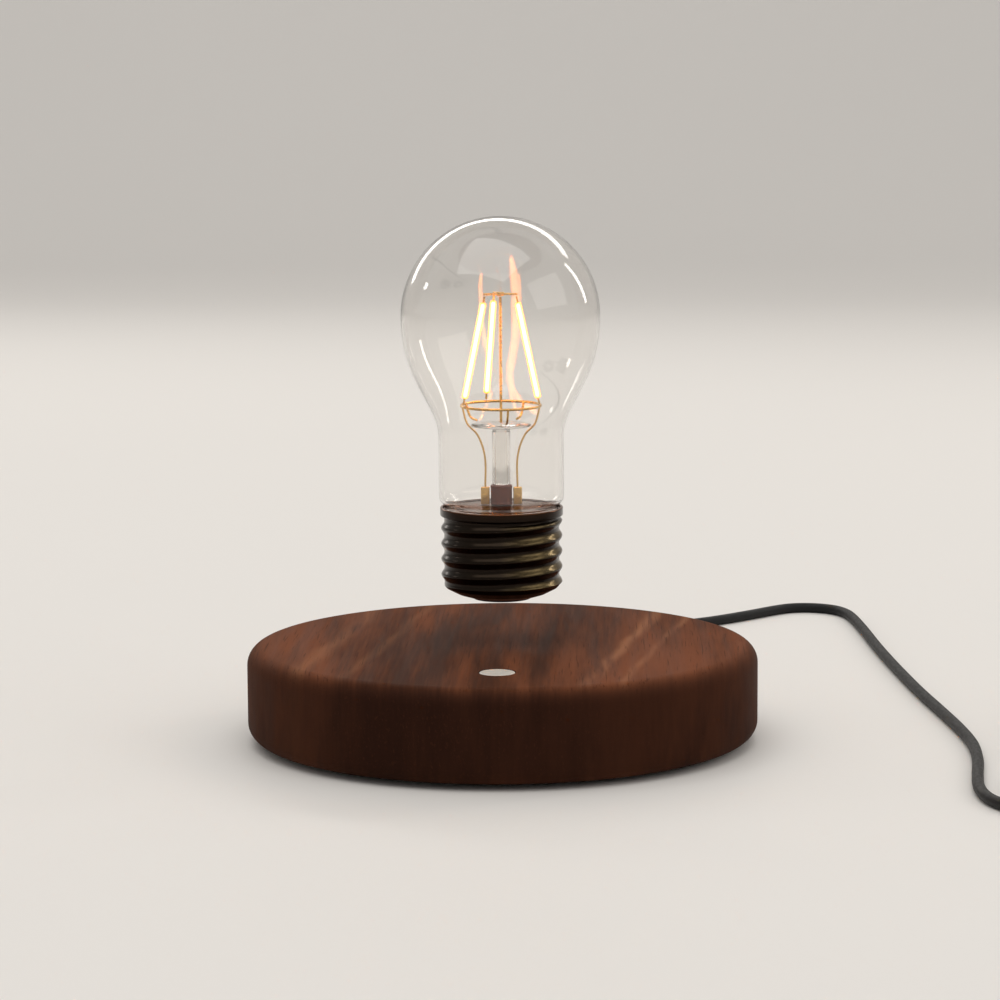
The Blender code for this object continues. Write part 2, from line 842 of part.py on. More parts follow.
def make_screw_shell(frame):
    """The thin threaded cap: a turned cup whose outer wall is moved out along a helix."""
    rings = round(thread_rings_per_turn * (thread_top - thread_bottom) / thread_pitch)
    threaded = []
    for ring in range(rings + 1):
        threaded.append((thread_root_radius, thread_top - (thread_top - thread_bottom) * ring / rings))
    seat_radius = cap_radius - cap_wall
    inner_low = thread_bottom + cap_turn_in
    outline = [
        (seat_radius, cap_height),
        (cap_radius - cap_round, cap_height),
        (cap_radius, cap_height - cap_round),
        (cap_radius, thread_top + cap_round * 2),
        (cap_radius - cap_round, thread_top + cap_round),
    ]
    outline += threaded
    outline += [
        (thread_root_radius - cap_turn_in, thread_bottom - cap_turn_in),
        (cap_shoulder_radius, cap_shoulder_height),
        (cap_mouth_radius, cap_mouth_height),
        (cap_mouth_radius, cap_mouth_height + cap_wall),
        (cap_shoulder_radius, cap_shoulder_height + cap_wall),
        (bobbin_radius, thread_bottom),
        (cap_bore_radius, inner_low + cap_turn_in),
        (cap_bore_radius, plate_seat),
        (seat_radius, plate_seat),
    ]
    black_metal = new_material("cap metal", (0.03, 0.028, 0.027), 0.3, 0.9)
    blank = turned("screw_shell", outline, black_metal, frame, bulb_steps, closed=True)
    bpy.context.view_layer.update()
    mesh = finished_mesh(blank)
    for vertex in mesh.vertices:
        radius = math.hypot(vertex.co.x, vertex.co.y)
        height = vertex.co.z
        if abs(radius - thread_root_radius) < weld_distance:
            moved = thread_radius(radius, height, math.atan2(vertex.co.y, vertex.co.x))
            vertex.co.x *= moved / radius
            vertex.co.y *= moved / radius
    place("screw_shell", mesh, black_metal, frame)


def make_contact(frame):
    """The contact button and the insulator ring round it, in the mouth of the cap."""
    insulator_low = cap_mouth_height - insulator_drop
    insulator_top = insulator_low + insulator_height
    insulator_radius = cap_mouth_radius - clearance
    outline = band_outline(insulator_bore_radius, insulator_radius, insulator_low, insulator_top)
    glaze = new_material("contact glass", (0.015, 0.012, 0.015), 0.2)
    turned("contact_insulator", outline, glaze, frame, inner_steps, closed=True)
    tin = new_material("contact tin", (0.2, 0.19, 0.18), 0.35, 1.0)
    button_radius = insulator_bore_radius - clearance
    button = [
        (0, contact_height),
        (button_radius, contact_height),
        (button_radius, contact_edge),
        (button_radius - contact_edge, clearance / 2),
        (0, 0),
    ]
    turned("bottom_contact", button, tin, frame, inner_steps)


def make_cap_inside(frame, float_frame):
    """The bobbin with the receiver coil, the magnet it turns about, and the receiver board."""
    nylon = new_material("bobbin nylon", (0.6, 0.58, 0.52), 0.5)
    flange_low = bobbin_top - bobbin_wall
    bobbin = [
        (0, bobbin_floor_top),
        (bobbin_bore_radius, bobbin_floor_top),
        (bobbin_bore_radius, bobbin_top),
        (bobbin_radius, bobbin_top),
        (bobbin_radius, flange_low),
        (bobbin_tube_radius, flange_low),
        (bobbin_tube_radius, bobbin_floor_top),
        (bobbin_radius, bobbin_floor_top),
        (bobbin_radius, bobbin_floor_bottom),
        (0, bobbin_floor_bottom),
    ]
    turned("coil_bobbin", bobbin, nylon, frame, inner_steps)

    copper = new_material("receiver copper", (0.6, 0.25, 0.1), 0.35, 1.0)
    coil_low = bobbin_floor_top + clearance
    coil_high = flange_low - clearance
    winding_radius = bobbin_radius - receiver_coil_inset
    coil = band_outline(bobbin_tube_radius + clearance, winding_radius, coil_low, coil_high)
    turned("receiver_coil", coil, copper, frame, inner_steps, closed=True)

    nickel = new_material("magnet nickel", (0.75, 0.74, 0.72), 0.2, 1.0)
    magnet_low = bulb_bottom + bobbin_floor_top + clearance
    magnet_high = bulb_bottom + bobbin_top - clearance
    magnet = disc_outline(float_magnet_radius, magnet_low, magnet_high, float_magnet_edge)
    turned("float_magnet", magnet, nickel, float_frame, inner_steps)

    laminate = new_material("receiver laminate", (0.02, 0.09, 0.04), 0.4)
    board_low = bobbin_top + clearance
    board_high = board_low + receiver_board_thickness
    board = disc_outline(cap_bore_radius - receiver_board_margin, board_low, board_high, clearance)
    turned("receiver_board", board, laminate, frame, inner_steps)


def make_cap_plate(frame):
    """The plate that closes the cap, with a raised middle, its post and two terminals."""
    bronze = new_material("plate bronze", (0.14, 0.075, 0.045), 0.25, 0.9)
    outline = [
        (0, plate_crown),
        (plate_step_radius - plate_edge, plate_crown),
        (plate_step_radius, plate_crown - plate_edge),
        (plate_step_radius, plate_top),
        (plate_radius, plate_top),
        (plate_radius, plate_bottom),
        (0, plate_bottom),
    ]
    turned("cap_plate", outline, bronze, frame, bulb_steps)
    dark = new_material("post plastic", (0.03, 0.018, 0.014), 0.5)
    post = disc_outline(post_radius, post_bottom, post_top, post_edge)
    turned("centre_post", post, dark, frame, small_steps)

    brass = new_material("terminal brass", (0.75, 0.5, 0.2), 0.25, 1.0)
    terminal_middle = post_bottom + terminal_size[2] / 2
    terminal_top = post_bottom + terminal_size[2]
    wire_top = ring_height - ring_wire_radius - lead_wire_radius
    wire_route = [
        (terminal_distance, 0, terminal_top - terminal_size[2] / 4),
        (terminal_distance, 0, (terminal_top + flare_bottom) / 2),
        ((terminal_distance + flare_radius) / 2, 0, flare_bottom - flare_height),
        (flare_radius + 4 * lead_wire_radius, 0, flare_top),
        (ring_radius - ring_wire_radius, 0, wire_top),
    ]
    for number, degrees in enumerate(terminal_angles, 1):
        turn = (0, 0, math.radians(degrees))
        name = f"wire_terminal_{number}"
        lug_place = (*around(terminal_distance, degrees), terminal_middle)
        lug = place(name, box_mesh(name, terminal_size), brass, frame, lug_place, turn)
        wire = tube_mesh("terminal wire", wire_route, lead_wire_radius, 1)
        combine(lug, cutter(wire.name, wire, frame, (0, 0, 0), turn), "UNION")


def offset_inwards(outline, distance):
    """The same outline, moved inwards by a wall's thickness along its normals."""
    moved = []
    for index, (radius, height) in enumerate(outline):
        before = Vector(outline[max(index - 1, 0)])
        after = Vector(outline[min(index + 1, len(outline) - 1)])
        along = (after - before).normalized()
        moved.append((radius + along.y * distance, height - along.x * distance))
    moved[0] = (0, outline[0][1] - distance)
    return moved


def bezier(start, start_handle, end_handle, end, steps):
    """Points of a cubic curve after its start."""
    corners = [Vector(corner) for corner in (start, start_handle, end_handle, end)]
    points = []
    for step in range(1, steps + 1):
        share = step / steps
        rest = 1 - share
        weights = (rest ** 3, 3 * rest ** 2 * share, 3 * rest * share ** 2, share ** 3)
        point = Vector((0, 0))
        for weight, corner in zip(weights, corners):
            point += weight * corner
        points.append(tuple(point))
    return points


def make_glass(frame):
    """The clear envelope: a round crown, a Bezier shoulder, a straight neck and a drawn-in foot."""
    crown = arc(0, glass_equator, glass_radius, 90, 0, 8)
    crown[0] = (0, bulb_height)
    shoulder = bezier(
        (glass_radius, glass_equator),
        (glass_radius, glass_equator - glass_shoulder_handle),
        (glass_neck_radius, glass_neck_top + glass_neck_handle),
        (glass_neck_radius, glass_neck_top),
        7,
    )
    foot_top = glass_foot_bottom + glass_foot_height
    handle_height = foot_top - glass_foot_height * glass_foot_handle_share
    foot = bezier(
        (glass_neck_radius, foot_top),
        (glass_neck_radius, handle_height),
        (glass_foot_radius, handle_height),
        (glass_foot_radius, glass_foot_bottom),
        3,
    )
    outer = crown + shoulder + [(glass_neck_radius, foot_top)] + foot
    inner = offset_inwards(outer, glass_wall)
    inner[-1] = (glass_foot_radius - glass_wall, glass_foot_bottom)
    glass = new_material("clear glass", (1.0, 0.99, 0.97), 0.02)
    glass.node_tree.nodes["Principled BSDF"].inputs["Transmission Weight"].default_value = 1.0
    turned("glass_envelope", outer + inner[::-1], glass, frame, glass_steps)


def make_stem(frame):
    """The glass stem tube and the flared press on top of it."""
    glass = new_material("stem glass", (0.95, 0.93, 0.9), 0.05)
    glass.node_tree.nodes["Principled BSDF"].inputs["Transmission Weight"].default_value = 1.0
    tube = band_outline(stem_bore_radius, stem_radius, post_top + clearance, flare_bottom - clearance)
    turned("stem_tube", tube, glass, frame, small_steps, closed=True)
    flare = [
        (0, flare_top),
        (flare_radius - flare_edge, flare_top),
        (flare_radius, flare_top - flare_edge),
        (flare_radius - flare_edge, flare_top - 2 * flare_edge),
        ((flare_radius + stem_radius) / 2, flare_top - 3 * flare_edge),
        (stem_radius, flare_bottom),
        (0, flare_bottom),
    ]
    turned("stem_flare", flare, glass, frame, inner_steps)


def make_led_mount(frame):
    """The wire ring on its legs, the centre rod and the hub with one arm for each LED bar."""
    brass = new_material("wire brass", (0.7, 0.42, 0.15), 0.3, 1.0)
    ring_points = []
    for step in range(inner_steps):
        ring_points.append((*around(ring_radius, 360 * step / inner_steps), ring_height))
    ring_wire = tube_mesh("lower_ring", ring_points, ring_wire_radius, 1, cyclic=True)
    ring = place("lower_ring", ring_wire, brass, frame)
    foot_distance = flare_radius - ring_leg_inset
    foot_middle = flare_top + clearance + ring_leg_radius
    for degrees in ring_leg_angles:
        top = (*around(ring_radius, degrees), ring_height)
        bottom = (*around(foot_distance, degrees), foot_middle)
        leg = tube_mesh("ring leg", [bottom, top], ring_leg_radius, 1)
        combine(ring, cutter(leg.name, leg, frame), "UNION")

    hub_low = hub_height - hub_thickness / 2
    hub_high = hub_height + hub_thickness / 2
    rod = disc_outline(rod_radius, flare_top + clearance, hub_low - clearance, rod_edge)
    turned("support_rod", rod, brass, frame, small_steps // 2)
    hub_mesh = cylinder_mesh("filament_hub", hub_radius, hub_low, hub_high, small_steps)
    hub = place("filament_hub", hub_mesh, brass, frame)
    for degrees in led_angles:
        tip = (*around(hub_arm_reach + hub_arm_radius, degrees), hub_height)
        arm = tube_mesh("hub arm", [(0, 0, hub_height), tip], hub_arm_radius, 1)
        combine(hub, cutter(arm.name, arm, frame), "UNION")


def make_led_bars(frame):
    """The lit LED bars, each a round bar with a thin tab at both ends."""
    warm = new_material("lit phosphor", (1.0, 0.75, 0.35), 0.5)
    shader = warm.node_tree.nodes["Principled BSDF"]
    shader.inputs["Emission Color"].default_value = (1.0, 0.7, 0.3, 1.0)
    shader.inputs["Emission Strength"].default_value = 5.0
    low_height = ring_height + ring_wire_radius + clearance
    high_height = hub_height - hub_arm_radius - clearance
    for number, degrees in enumerate(led_angles, 1):
        low = Vector((*around(ring_radius, degrees), low_height))
        high = Vector((*around(hub_arm_reach, degrees), high_height))
        length = (high - low).length
        bar_high = length - led_tab_length
        outline = [
            (0, length),
            (led_tab_radius, length),
            (led_tab_radius, bar_high),
            (led_bar_radius - led_bar_edge, bar_high),
            (led_bar_radius, bar_high - led_bar_edge),
            (led_bar_radius, led_tab_length + led_bar_edge),
            (led_bar_radius - led_bar_edge, led_tab_length),
            (led_tab_radius, led_tab_length),
            (led_tab_radius, 0),
            (0, 0),
        ]
        turn = (high - low).to_track_quat("Z", "Y").to_euler()
        turned(f"led_filament_{number}", outline, warm, frame, small_steps, low, turn)


def make_plug(frame):
    """The barrel plug: a metal barrel and a moulded body that tapers onto the cord."""
    rubber = new_material("lead plastic", (0.015, 0.015, 0.016), 0.5)
    outline = [
        (0, plug_length),
        (plug_tip_radius, plug_length),
        (plug_taper_radius, plug_body_length),
        (plug_body_radius - plug_edge, plug_body_length),
        (plug_body_radius, plug_body_length - plug_edge),
        (plug_body_radius, plug_edge),
        (plug_body_radius - plug_edge, 0),
        (0, 0),
    ]
    back = (-math.pi / 2, 0, 0)
    turned("plug_body", outline, rubber, frame, inner_steps, (0, clearance, 0), back)
    nickel = new_material("plug nickel", (0.72, 0.7, 0.66), 0.25, 1.0)
    barrel = [
        (0, 0),
        (plug_barrel_radius, 0),
        (plug_barrel_radius, -plug_barrel_length),
        (plug_barrel_bore, -plug_barrel_length),
        (plug_barrel_bore, -plug_barrel_end_wall),
        (0, -plug_barrel_end_wall),
    ]
    turned("plug_barrel", barrel, nickel, frame, small_steps, (0, 0, 0), back)


def spline_point(before, start, end, after, share):
    """A point of a Catmull-Rom curve between its start and end."""
    along = (end - before) / 2
    onward = (after - start) / 2
    curve = start + along * share
    curve += (3 * (end - start) - 2 * along - onward) * share ** 2
    curve += (2 * (start - end) + along + onward) * share ** 3
    return curve


def smooth_route(route, spacing):
    """Evenly spaced points on one smooth curve through a route."""
    corners = [Vector(point) for point in route]
    corners = [2 * corners[0] - corners[1]] + corners + [2 * corners[-1] - corners[-2]]
    fine = [corners[1]]
    for index in range(1, len(corners) - 2):
        for step in range(1, route_fine_steps + 1):
            fine.append(spline_point(*corners[index - 1:index + 3], step / route_fine_steps))
    lengths = [0]
    for start, end in zip(fine, fine[1:]):
        lengths.append(lengths[-1] + (end - start).length)
    count = max(2, round(lengths[-1] / spacing))
    points = []
    index = 0
    for step in range(count + 1):
        wanted = lengths[-1] * step / count
        while index < len(lengths) - 2 and lengths[index + 1] < wanted:
            index += 1
        share = (wanted - lengths[index]) / (lengths[index + 1] - lengths[index])
        points.append(fine[index].lerp(fine[index + 1], share))
    return points


def path_length(points):
    return sum((end - start).length for start, end in zip(points, points[1:]))


def coil_points(centre, mean_radius):
    """Points of a coil that spirals in, climbs one layer where it turns, and spirals out above."""
    step = cord_diameter + coil_turn_gap
    half = coil_turns / 2
    outer = mean_radius + step * half / 2
    low = tie_thickness + clearance + cord_radius
    points = []
    for index in range(round(coil_turns * coil_points_per_turn) + 1):
        turn = index / coil_points_per_turn
        angle = 2 * math.pi * turn - math.pi / 2
        radius = outer - step * (half - abs(half - turn))
        climb = smooth_step((turn - half + coil_climb_turns / 2) / coil_climb_turns)
        height = low + step * climb
        points.append(centre + Vector((radius * math.cos(angle), radius * math.sin(angle), height)))
    return points


def least_gap(points, diameter):
    """The least free gap of a coiled tube to itself, between points more than half a turn apart."""
    apart = coil_points_per_turn // 2
    least = lead_length
    for index, point in enumerate(points):
        for other in points[index + apart:]:
            least = min(least, (other - point).length)
    return least - diameter


def place_tube(name, points, material, frame):
    """A cord along its points, as a curve with filled ends."""
    resolution = 2 if name == "lead_stretch" else 1
    part = bpy.data.objects.new(name, tube_curve(name, points, cord_radius, resolution))
    part.data.materials.append(material)
    part.parent = frame
    parts.objects.link(part)


def make_lead(frame):
    """The cord from the plug to the coil, the coil with its tie, and the wall adapter."""
    black = new_material("cord black", (0.012, 0.012, 0.013), 0.45)
    origin = Vector(frame.location)
    exit_point = Vector((0, plug_length + 2 * clearance, 0))
    straight = exit_point + Vector((0, 2 * cord_diameter, 0))
    route = [exit_point, straight] + [Vector(point) - origin for point in lead_route]
    stretch = smooth_route(route, cord_diameter * route_spacing_share)
    floor = -origin.z
    for point in stretch:
        point.z = max(point.z, floor + cord_radius)
    place_tube("lead_stretch", stretch, black, frame)

    step = cord_diameter + coil_turn_gap
    mean_radius = (lead_length - path_length(stretch) - coil_tail_length) / (2 * math.pi * coil_turns)
    outer = mean_radius + step * coil_turns / 4
    start = stretch[-1] + Vector((clearance, 0, 0))
    centre = Vector((start.x + cord_diameter, start.y + outer, floor))
    loops = coil_points(centre, mean_radius)
    start.z = loops[0].z
    end = loops[-1]
    adapter_middle = floor + adapter_size[2] / 2
    tail_start = end + Vector((0, coil_tail_length / 3, 0))
    tail_end = Vector((end.x, end.y + coil_tail_length, adapter_middle))
    before_end = tail_end - Vector((0, cord_diameter, 0))
    tail = smooth_route([end, tail_start, before_end, tail_end], cord_diameter)
    winding = [start] + loops + tail[1:]
    place_tube("lead_coil", winding, black, frame)
    print("least gap of the coil to itself, mm:", round(least_gap(winding, cord_diameter) * 1000, 3))
    print("mean radius of the coil, mm:", round(mean_radius * 1000, 2))
    total = path_length(stretch) + path_length(winding)
    print("length of the lead, m:", round(total, 3))

    make_tie(frame, centre, mean_radius)
    make_adapter(frame, tail_end)


def make_tie(frame, centre, mean_radius):
    """A flat band round the coil's turns, at one place."""
    step = cord_diameter + coil_turn_gap
    spread = step * coil_turns / 2 + cord_diameter + 2 * tie_slack
    inside_height = step + cord_diameter + 2 * clearance
    middle_radius = mean_radius - step / 4
    middle_height = tie_thickness + inside_height / 2
    middle = centre + Vector((*around(middle_radius, tie_angle), middle_height))
    turn = (0, 0, math.radians(tie_angle))
    band = new_material("tie band", (0.02, 0.02, 0.02), 0.6)
    outer_size = (spread + 2 * tie_thickness, tie_width, inside_height + 2 * tie_thickness)
    tie = place("coil_tie", box_mesh("coil_tie", outer_size), band, frame, middle, turn)
    add_bevel(tie, tie_edge, 1)
    hole = box_mesh("tie hole", (spread, tie_width + 2 * overrun, inside_height))
    combine(tie, cutter(hole.name, hole, frame, middle, turn), "DIFFERENCE")


def make_adapter(frame, cord_end):
    """The wall adapter on the floor, its blades and its strain relief."""
    black = new_material("adapter plastic", (0.018, 0.018, 0.02), 0.4)
    back = (-math.pi / 2, 0, 0)
    relief_start = cord_end + Vector((0, clearance, 0))
    relief = [
        (0, adapter_relief_length),
        (adapter_relief_radius, adapter_relief_length),
        (adapter_relief_radius, adapter_relief_length * 3 / 4),
        (plug_tip_radius, 0),
        (0, 0),
    ]
    turned("adapter_strain_relief", relief, black, frame, small_steps, relief_start, back)
    case_near = relief_start.y + adapter_relief_length + clearance
    case_middle = Vector((relief_start.x, case_near + adapter_size[1] / 2, relief_start.z))
    case = place("adapter_case", box_mesh("adapter_case", adapter_size), black, frame, case_middle)
    add_bevel(case, adapter_edge, 3)
    nickel = new_material("blade nickel", (0.72, 0.7, 0.66), 0.25, 1.0)
    for number, side_sign in enumerate((-1, 1), 1):
        name = f"adapter_blade_{number}"
        blade_middle = case_near + adapter_size[1] + clearance + blade_size[1] / 2
        spot = (relief_start.x + side_sign * blade_spacing / 2, blade_middle, relief_start.z)
        blade = place(name, box_mesh(name, blade_size), nickel, frame, spot)
        add_bevel(blade, blade_edge, 1)


def new_frame(name, location=(0, 0, 0)):
    """An empty that carries the pieces of one moving group."""
    frame = bpy.data.objects.new(name, None)
    frame.location = location
    parts.objects.link(frame)
    return frame


clear_scene()
parts = new_collection("levitating lamp")
cutters = new_collection("levitating lamp cutters")
base_frame = new_frame("base frame")
float_frame = new_frame("float frame")
bulb_frame = new_frame("bulb frame", (0, 0, bulb_bottom))
lead_frame = new_frame("lead frame", (0, jack_face, jack_height))
bpy.context.view_layer.update()

make_wood_base(base_frame)
make_bottom_cover(base_frame)
make_feet(base_frame)
make_screws(base_frame)
make_control_board(base_frame)
make_coil_carrier(base_frame)
make_magnetics(base_frame)
make_touch_pad(base_frame)
make_jack(base_frame)
make_screw_shell(bulb_frame)
make_contact(bulb_frame)
make_cap_inside(bulb_frame, float_frame)
make_cap_plate(bulb_frame)
make_glass(bulb_frame)
make_stem(bulb_frame)
make_led_mount(bulb_frame)
make_led_bars(bulb_frame)
make_plug(lead_frame)
make_lead(lead_frame)
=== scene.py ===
"""Levitating lamp, dressed for its picture: walnut base, floating filament bulb and coiled lead.

All lengths are in metres and +Z is up. The touch pad faces -Y and the power socket faces +Y.
"""

import functools
import math

import bmesh
import bpy
import numpy as np
from mathutils import Matrix, Vector


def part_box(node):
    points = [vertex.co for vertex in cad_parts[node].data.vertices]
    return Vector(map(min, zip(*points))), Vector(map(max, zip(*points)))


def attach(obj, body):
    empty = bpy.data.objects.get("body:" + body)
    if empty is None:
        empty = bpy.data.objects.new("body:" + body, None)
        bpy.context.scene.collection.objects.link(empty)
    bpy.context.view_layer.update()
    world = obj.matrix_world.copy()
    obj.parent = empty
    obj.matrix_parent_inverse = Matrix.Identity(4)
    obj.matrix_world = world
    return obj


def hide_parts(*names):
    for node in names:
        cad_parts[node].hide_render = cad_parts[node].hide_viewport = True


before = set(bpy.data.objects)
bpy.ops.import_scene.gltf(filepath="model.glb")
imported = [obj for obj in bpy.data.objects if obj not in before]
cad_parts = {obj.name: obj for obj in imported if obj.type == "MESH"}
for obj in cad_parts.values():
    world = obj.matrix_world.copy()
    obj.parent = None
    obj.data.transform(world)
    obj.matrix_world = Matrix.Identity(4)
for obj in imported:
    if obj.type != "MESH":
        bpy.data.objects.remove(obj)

bl_info = {
    "name": "Levitating Lamp",
    "version": (1, 0, 0),
    "blender": (4, 5, 0),
    "location": "3D View > Sidebar > Lamp",
    "description": "Makes the pieces, finishes and studio of a levitating lamp",
    "category": "Object",
}

X, Y, Z = 0, 1, 2


def low(node, axis):
    """Lowest coordinate of a CAD node along an axis."""
    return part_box(node)[0][axis]


def high(node, axis):
    """Highest coordinate of a CAD node along an axis."""
    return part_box(node)[1][axis]


def span(node, axis):
    """Lowest and highest coordinate of a CAD node along an axis."""
    return low(node, axis), high(node, axis)


def corners_of(node):
    """Lowest corner, highest corner and middle of a CAD node."""
    start, end = (np.array(corner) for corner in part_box(node))
    return start, end, (start + end) / 2


# Places that the CAD nodes give
clearance = 0.0003
along_y = (0, 1, 0)
curve_steps = 24
jack_face = high("dc_jack", Y)
jack_height = corners_of("dc_jack")[2][Z]
pad_centre = corners_of("touch_pad")[2][:2]
case_low, case_high, case_middle = corners_of("adapter_case")

# The lead: down from the plug, flat on the table, up to the coil, and the coil itself
cord_thickness = 0.0035
cord_gap = 0.0001
bore_depth = 0.0028
cord_overlap = 0.002
route_down = ((0.0010, 0.1270, 0.0110), (0.0035, 0.1390, 0.0060), (0.0085, 0.1505, 0.0028))
route_flat = (
    (0.0165, 0.1610), (0.0275, 0.1705), (0.0405, 0.1795), (0.0545, 0.1880), (0.0680, 0.1970),
    (0.0810, 0.2090), (0.0930, 0.2215), (0.0997, 0.2260), (0.1073, 0.2260), (0.1138, 0.2220),
    (0.1177, 0.2150), (0.1198, 0.2040), (0.1220, 0.1800), (0.1247, 0.1420), (0.1280, 0.1045),
    (0.1322, 0.0640), (0.1365, 0.0300), (0.1396, 0.0035), (0.1411, -0.0180), (0.1404, -0.0400),
    (0.1383, -0.0610), (0.1371, -0.0780), (0.1385, -0.0920),
)
route_up = (
    (0.1435, -0.1030, 0.0020), (0.1520, -0.1100, 0.0026), (0.1620, -0.1120, 0.00295),
    (0.1740, -0.1120, 0.00295),
)
lead_route = (*route_down, *((x, y, cord_thickness / 2) for x, y in route_flat), *route_up)
turn_gap = 0.0008
points_a_turn = 96
coil_turns = 7.25
climb_turns = 0.5
tail_length = 0.028
tie_thickness = 0.0009

# The screw cap's thread, from the bottom of the contact
thread_pitch = 0.0047
thread_root = 0.0174
thread_crest = 0.01835
thread_low = 0.0045
thread_phase = 0.0197
thread_fade = 0.0012
thread_sharpness = 1.4
# How far above each crest the thread's painted highlight sits, as a phase of the thread.
highlight_lead = 1.4
cap_wall = 0.0008

# The LED bars and their wire mount
led_angles = (346, 114, 202)
leg_angles = (56, 155, 282)
ring_radius = 0.012
ring_wire = 0.0004
thin_wire = 0.00035
arm_reach = 0.0050
bar_radius = 0.00095
bar_end = 0.0019
tab_length = 0.0022

# Colours that several finishes share
nickel_tone = (0.74, 0.71, 0.66)
steel_tone = (0.50, 0.49, 0.47)
nylon_tone = (0.62, 0.60, 0.54)
ferrite_tone = (0.06, 0.058, 0.056)


def length_property(name, description, default, smallest):
    """A length for the panel."""
    return bpy.props.FloatProperty(
        name=name, description=description, default=default, min=smallest, unit="LENGTH",
    )


def colour_property(name, description, default):
    """A colour for the panel."""
    return bpy.props.FloatVectorProperty(
        name=name, description=description, default=default, size=3, min=0.0, max=1.0,
        subtype="COLOR",
    )


class LampSizes(bpy.types.PropertyGroup):
    """Sizes of the lamp that a maker would change, read from the CAD model."""

    base_radius: length_property(
        "Base radius", "Radius of the walnut base", high("wood_base", X), 0.03)
    wood_low: length_property(
        "Wood bottom", "Height of the underside of the walnut", low("wood_base", Z), 0.0)
    wood_high: length_property(
        "Wood top", "Height of the top of the walnut", high("wood_base", Z), 0.01)
    pad_radius: length_property(
        "Touch pad radius", "Radius of the metal touch pad",
        (high("touch_pad", X) - low("touch_pad", X)) / 2, 0.001)
    cap_low: length_property(
        "Bulb bottom", "Height of the contact button above the table",
        low("bottom_contact", Z), 0.0)
    glass_radius: length_property(
        "Glass radius", "Largest radius of the glass", high("glass_envelope", Y), 0.01)
    glass_top: length_property(
        "Glass top", "Height of the top of the glass above the table",
        high("glass_envelope", Z), 0.05)
    cord_diameter: length_property(
        "Cord diameter", "Diameter of the power lead", cord_thickness, 0.001)
    lead_length: length_property(
        "Lead length", "Length of the power lead from plug to adapter", 1.5, 0.5)


class LampColours(bpy.types.PropertyGroup):
    """Colours of the lamp and its studio, as linear light."""

    walnut_dark: colour_property(
        "Dark walnut", "Darkest lines of the grain", (0.046, 0.0165, 0.0085))
    walnut: colour_property("Walnut", "Ground colour of the wood", (0.180, 0.060, 0.027))
    # Colour of the end grain, also used for the painted shade on the turned side of the base.
    walnut_end_and_side_shade: colour_property(
        "End grain", "Wood sawn across the grain, which drinks the oil", (0.021, 0.0080, 0.0050))
    walnut_light: colour_property(
        "Light walnut", "Palest streaks of the grain", (0.33, 0.145, 0.072))
    brass: colour_property("Brass", "Wires and terminals in the bulb", (0.78, 0.50, 0.20))
    bronze: colour_property(
        "Bronze", "Plate that closes the screw cap", (0.145, 0.058, 0.026))
    black_metal: colour_property(
        "Black nickel", "Screw cap of the bulb", (0.0155, 0.0110, 0.0085))
    # Olive brass of the painted highlight on the upper flanks of the screw thread.
    worn: colour_property(
        "Worn thread", "Flanks of the screw thread where the black has worn thin",
        (0.155, 0.112, 0.052))
    black: colour_property(
        "Black plastic", "Cord, plug, adapter and socket", (0.0090, 0.0088, 0.0090))
    glow: colour_property("Glow", "Light of the LED bars", (1.0, 0.57, 0.20))
    gel: colour_property("Amber gel", "Gel round the strip of each LED bar", (1.0, 0.43, 0.07))
    floor: colour_property("Floor", "Floor and backdrop", (0.80, 0.775, 0.745))


# Shapes


def smooth_step(share):
    """Rises smoothly from 0 to 1: s squared times (3 - 2 s), with s held between 0 and 1."""
    share = np.clip(share, 0, 1)
    return share * share * (3 - 2 * share)


def around(radius, degrees, height):
    """The point at a radius, an angle and a height about the lamp's axis."""
    angle = math.radians(degrees)
    return np.array((radius * math.cos(angle), radius * math.sin(angle), height))


def rounded(corners, steps=5):
    """Outline through corners (across, up, rounding).

    Each corner b turns from p = b + t (a - b) to q = b + t (c - b), unit directions to its
    neighbours, with t = rounding tan(turn / 2), on the rational curve
    ((1-s)^2 p + 2 s (1-s) w b + s^2 q) / ((1-s)^2 + 2 s (1-s) w + s^2), with w = cos(turn / 2).
    """
    corners = np.asarray(corners, float)
    point, size = corners[:, :2], corners[:, 2]
    back = np.roll(point, 1, axis=0) - point
    onward = np.roll(point, -1, axis=0) - point
    back /= np.maximum(np.linalg.norm(back, axis=1, keepdims=True), 1e-12)
    onward /= np.maximum(np.linalg.norm(onward, axis=1, keepdims=True), 1e-12)
    turn = np.pi - np.arccos(np.clip((back * onward).sum(axis=1), -1, 1))
    reach = np.where(size > 0, size * np.tan(np.minimum(turn, 3.1) / 2), 0)[:, None]
    start, end = point + back * reach, point + onward * reach
    weight = np.cos(turn / 2)[:, None, None]
    share = np.linspace(0, 1, steps + 1)[None, :, None]
    first, middle, last = (1 - share) ** 2, 2 * share * (1 - share) * weight, share ** 2
    curve = first * start[:, None] + middle * point[:, None] + last * end[:, None]
    curve = (curve / (first + middle + last)).reshape(-1, 2)
    apart = np.linalg.norm(np.diff(curve, axis=0), axis=1) > 1e-8
    return curve[np.concatenate(([True], apart))]


def drum(radius, start, end, first=0.0, last=0.0, steps=5):
    """Outline of a round bar from start to end, with the rounding of its first and last edge."""
    return rounded(((0, start, 0), (radius, start, first), (radius, end, last), (0, end, 0)), steps)


def oblong(across, up, edge, steps):
    """Outline of a rectangle that reaches across and up from its middle, with rounded corners."""
    signs = ((-1, -1), (1, -1), (1, 1), (-1, 1))
    return rounded([(a * across, b * up, edge) for a, b in signs], steps)


def ring_outline(radius, steps=12):
    """A closed circle: (r cos t, r sin t)."""
    angle = np.linspace(0, 2 * np.pi, steps, endpoint=False)
    return np.stack((radius * np.cos(angle), radius * np.sin(angle)), axis=1)


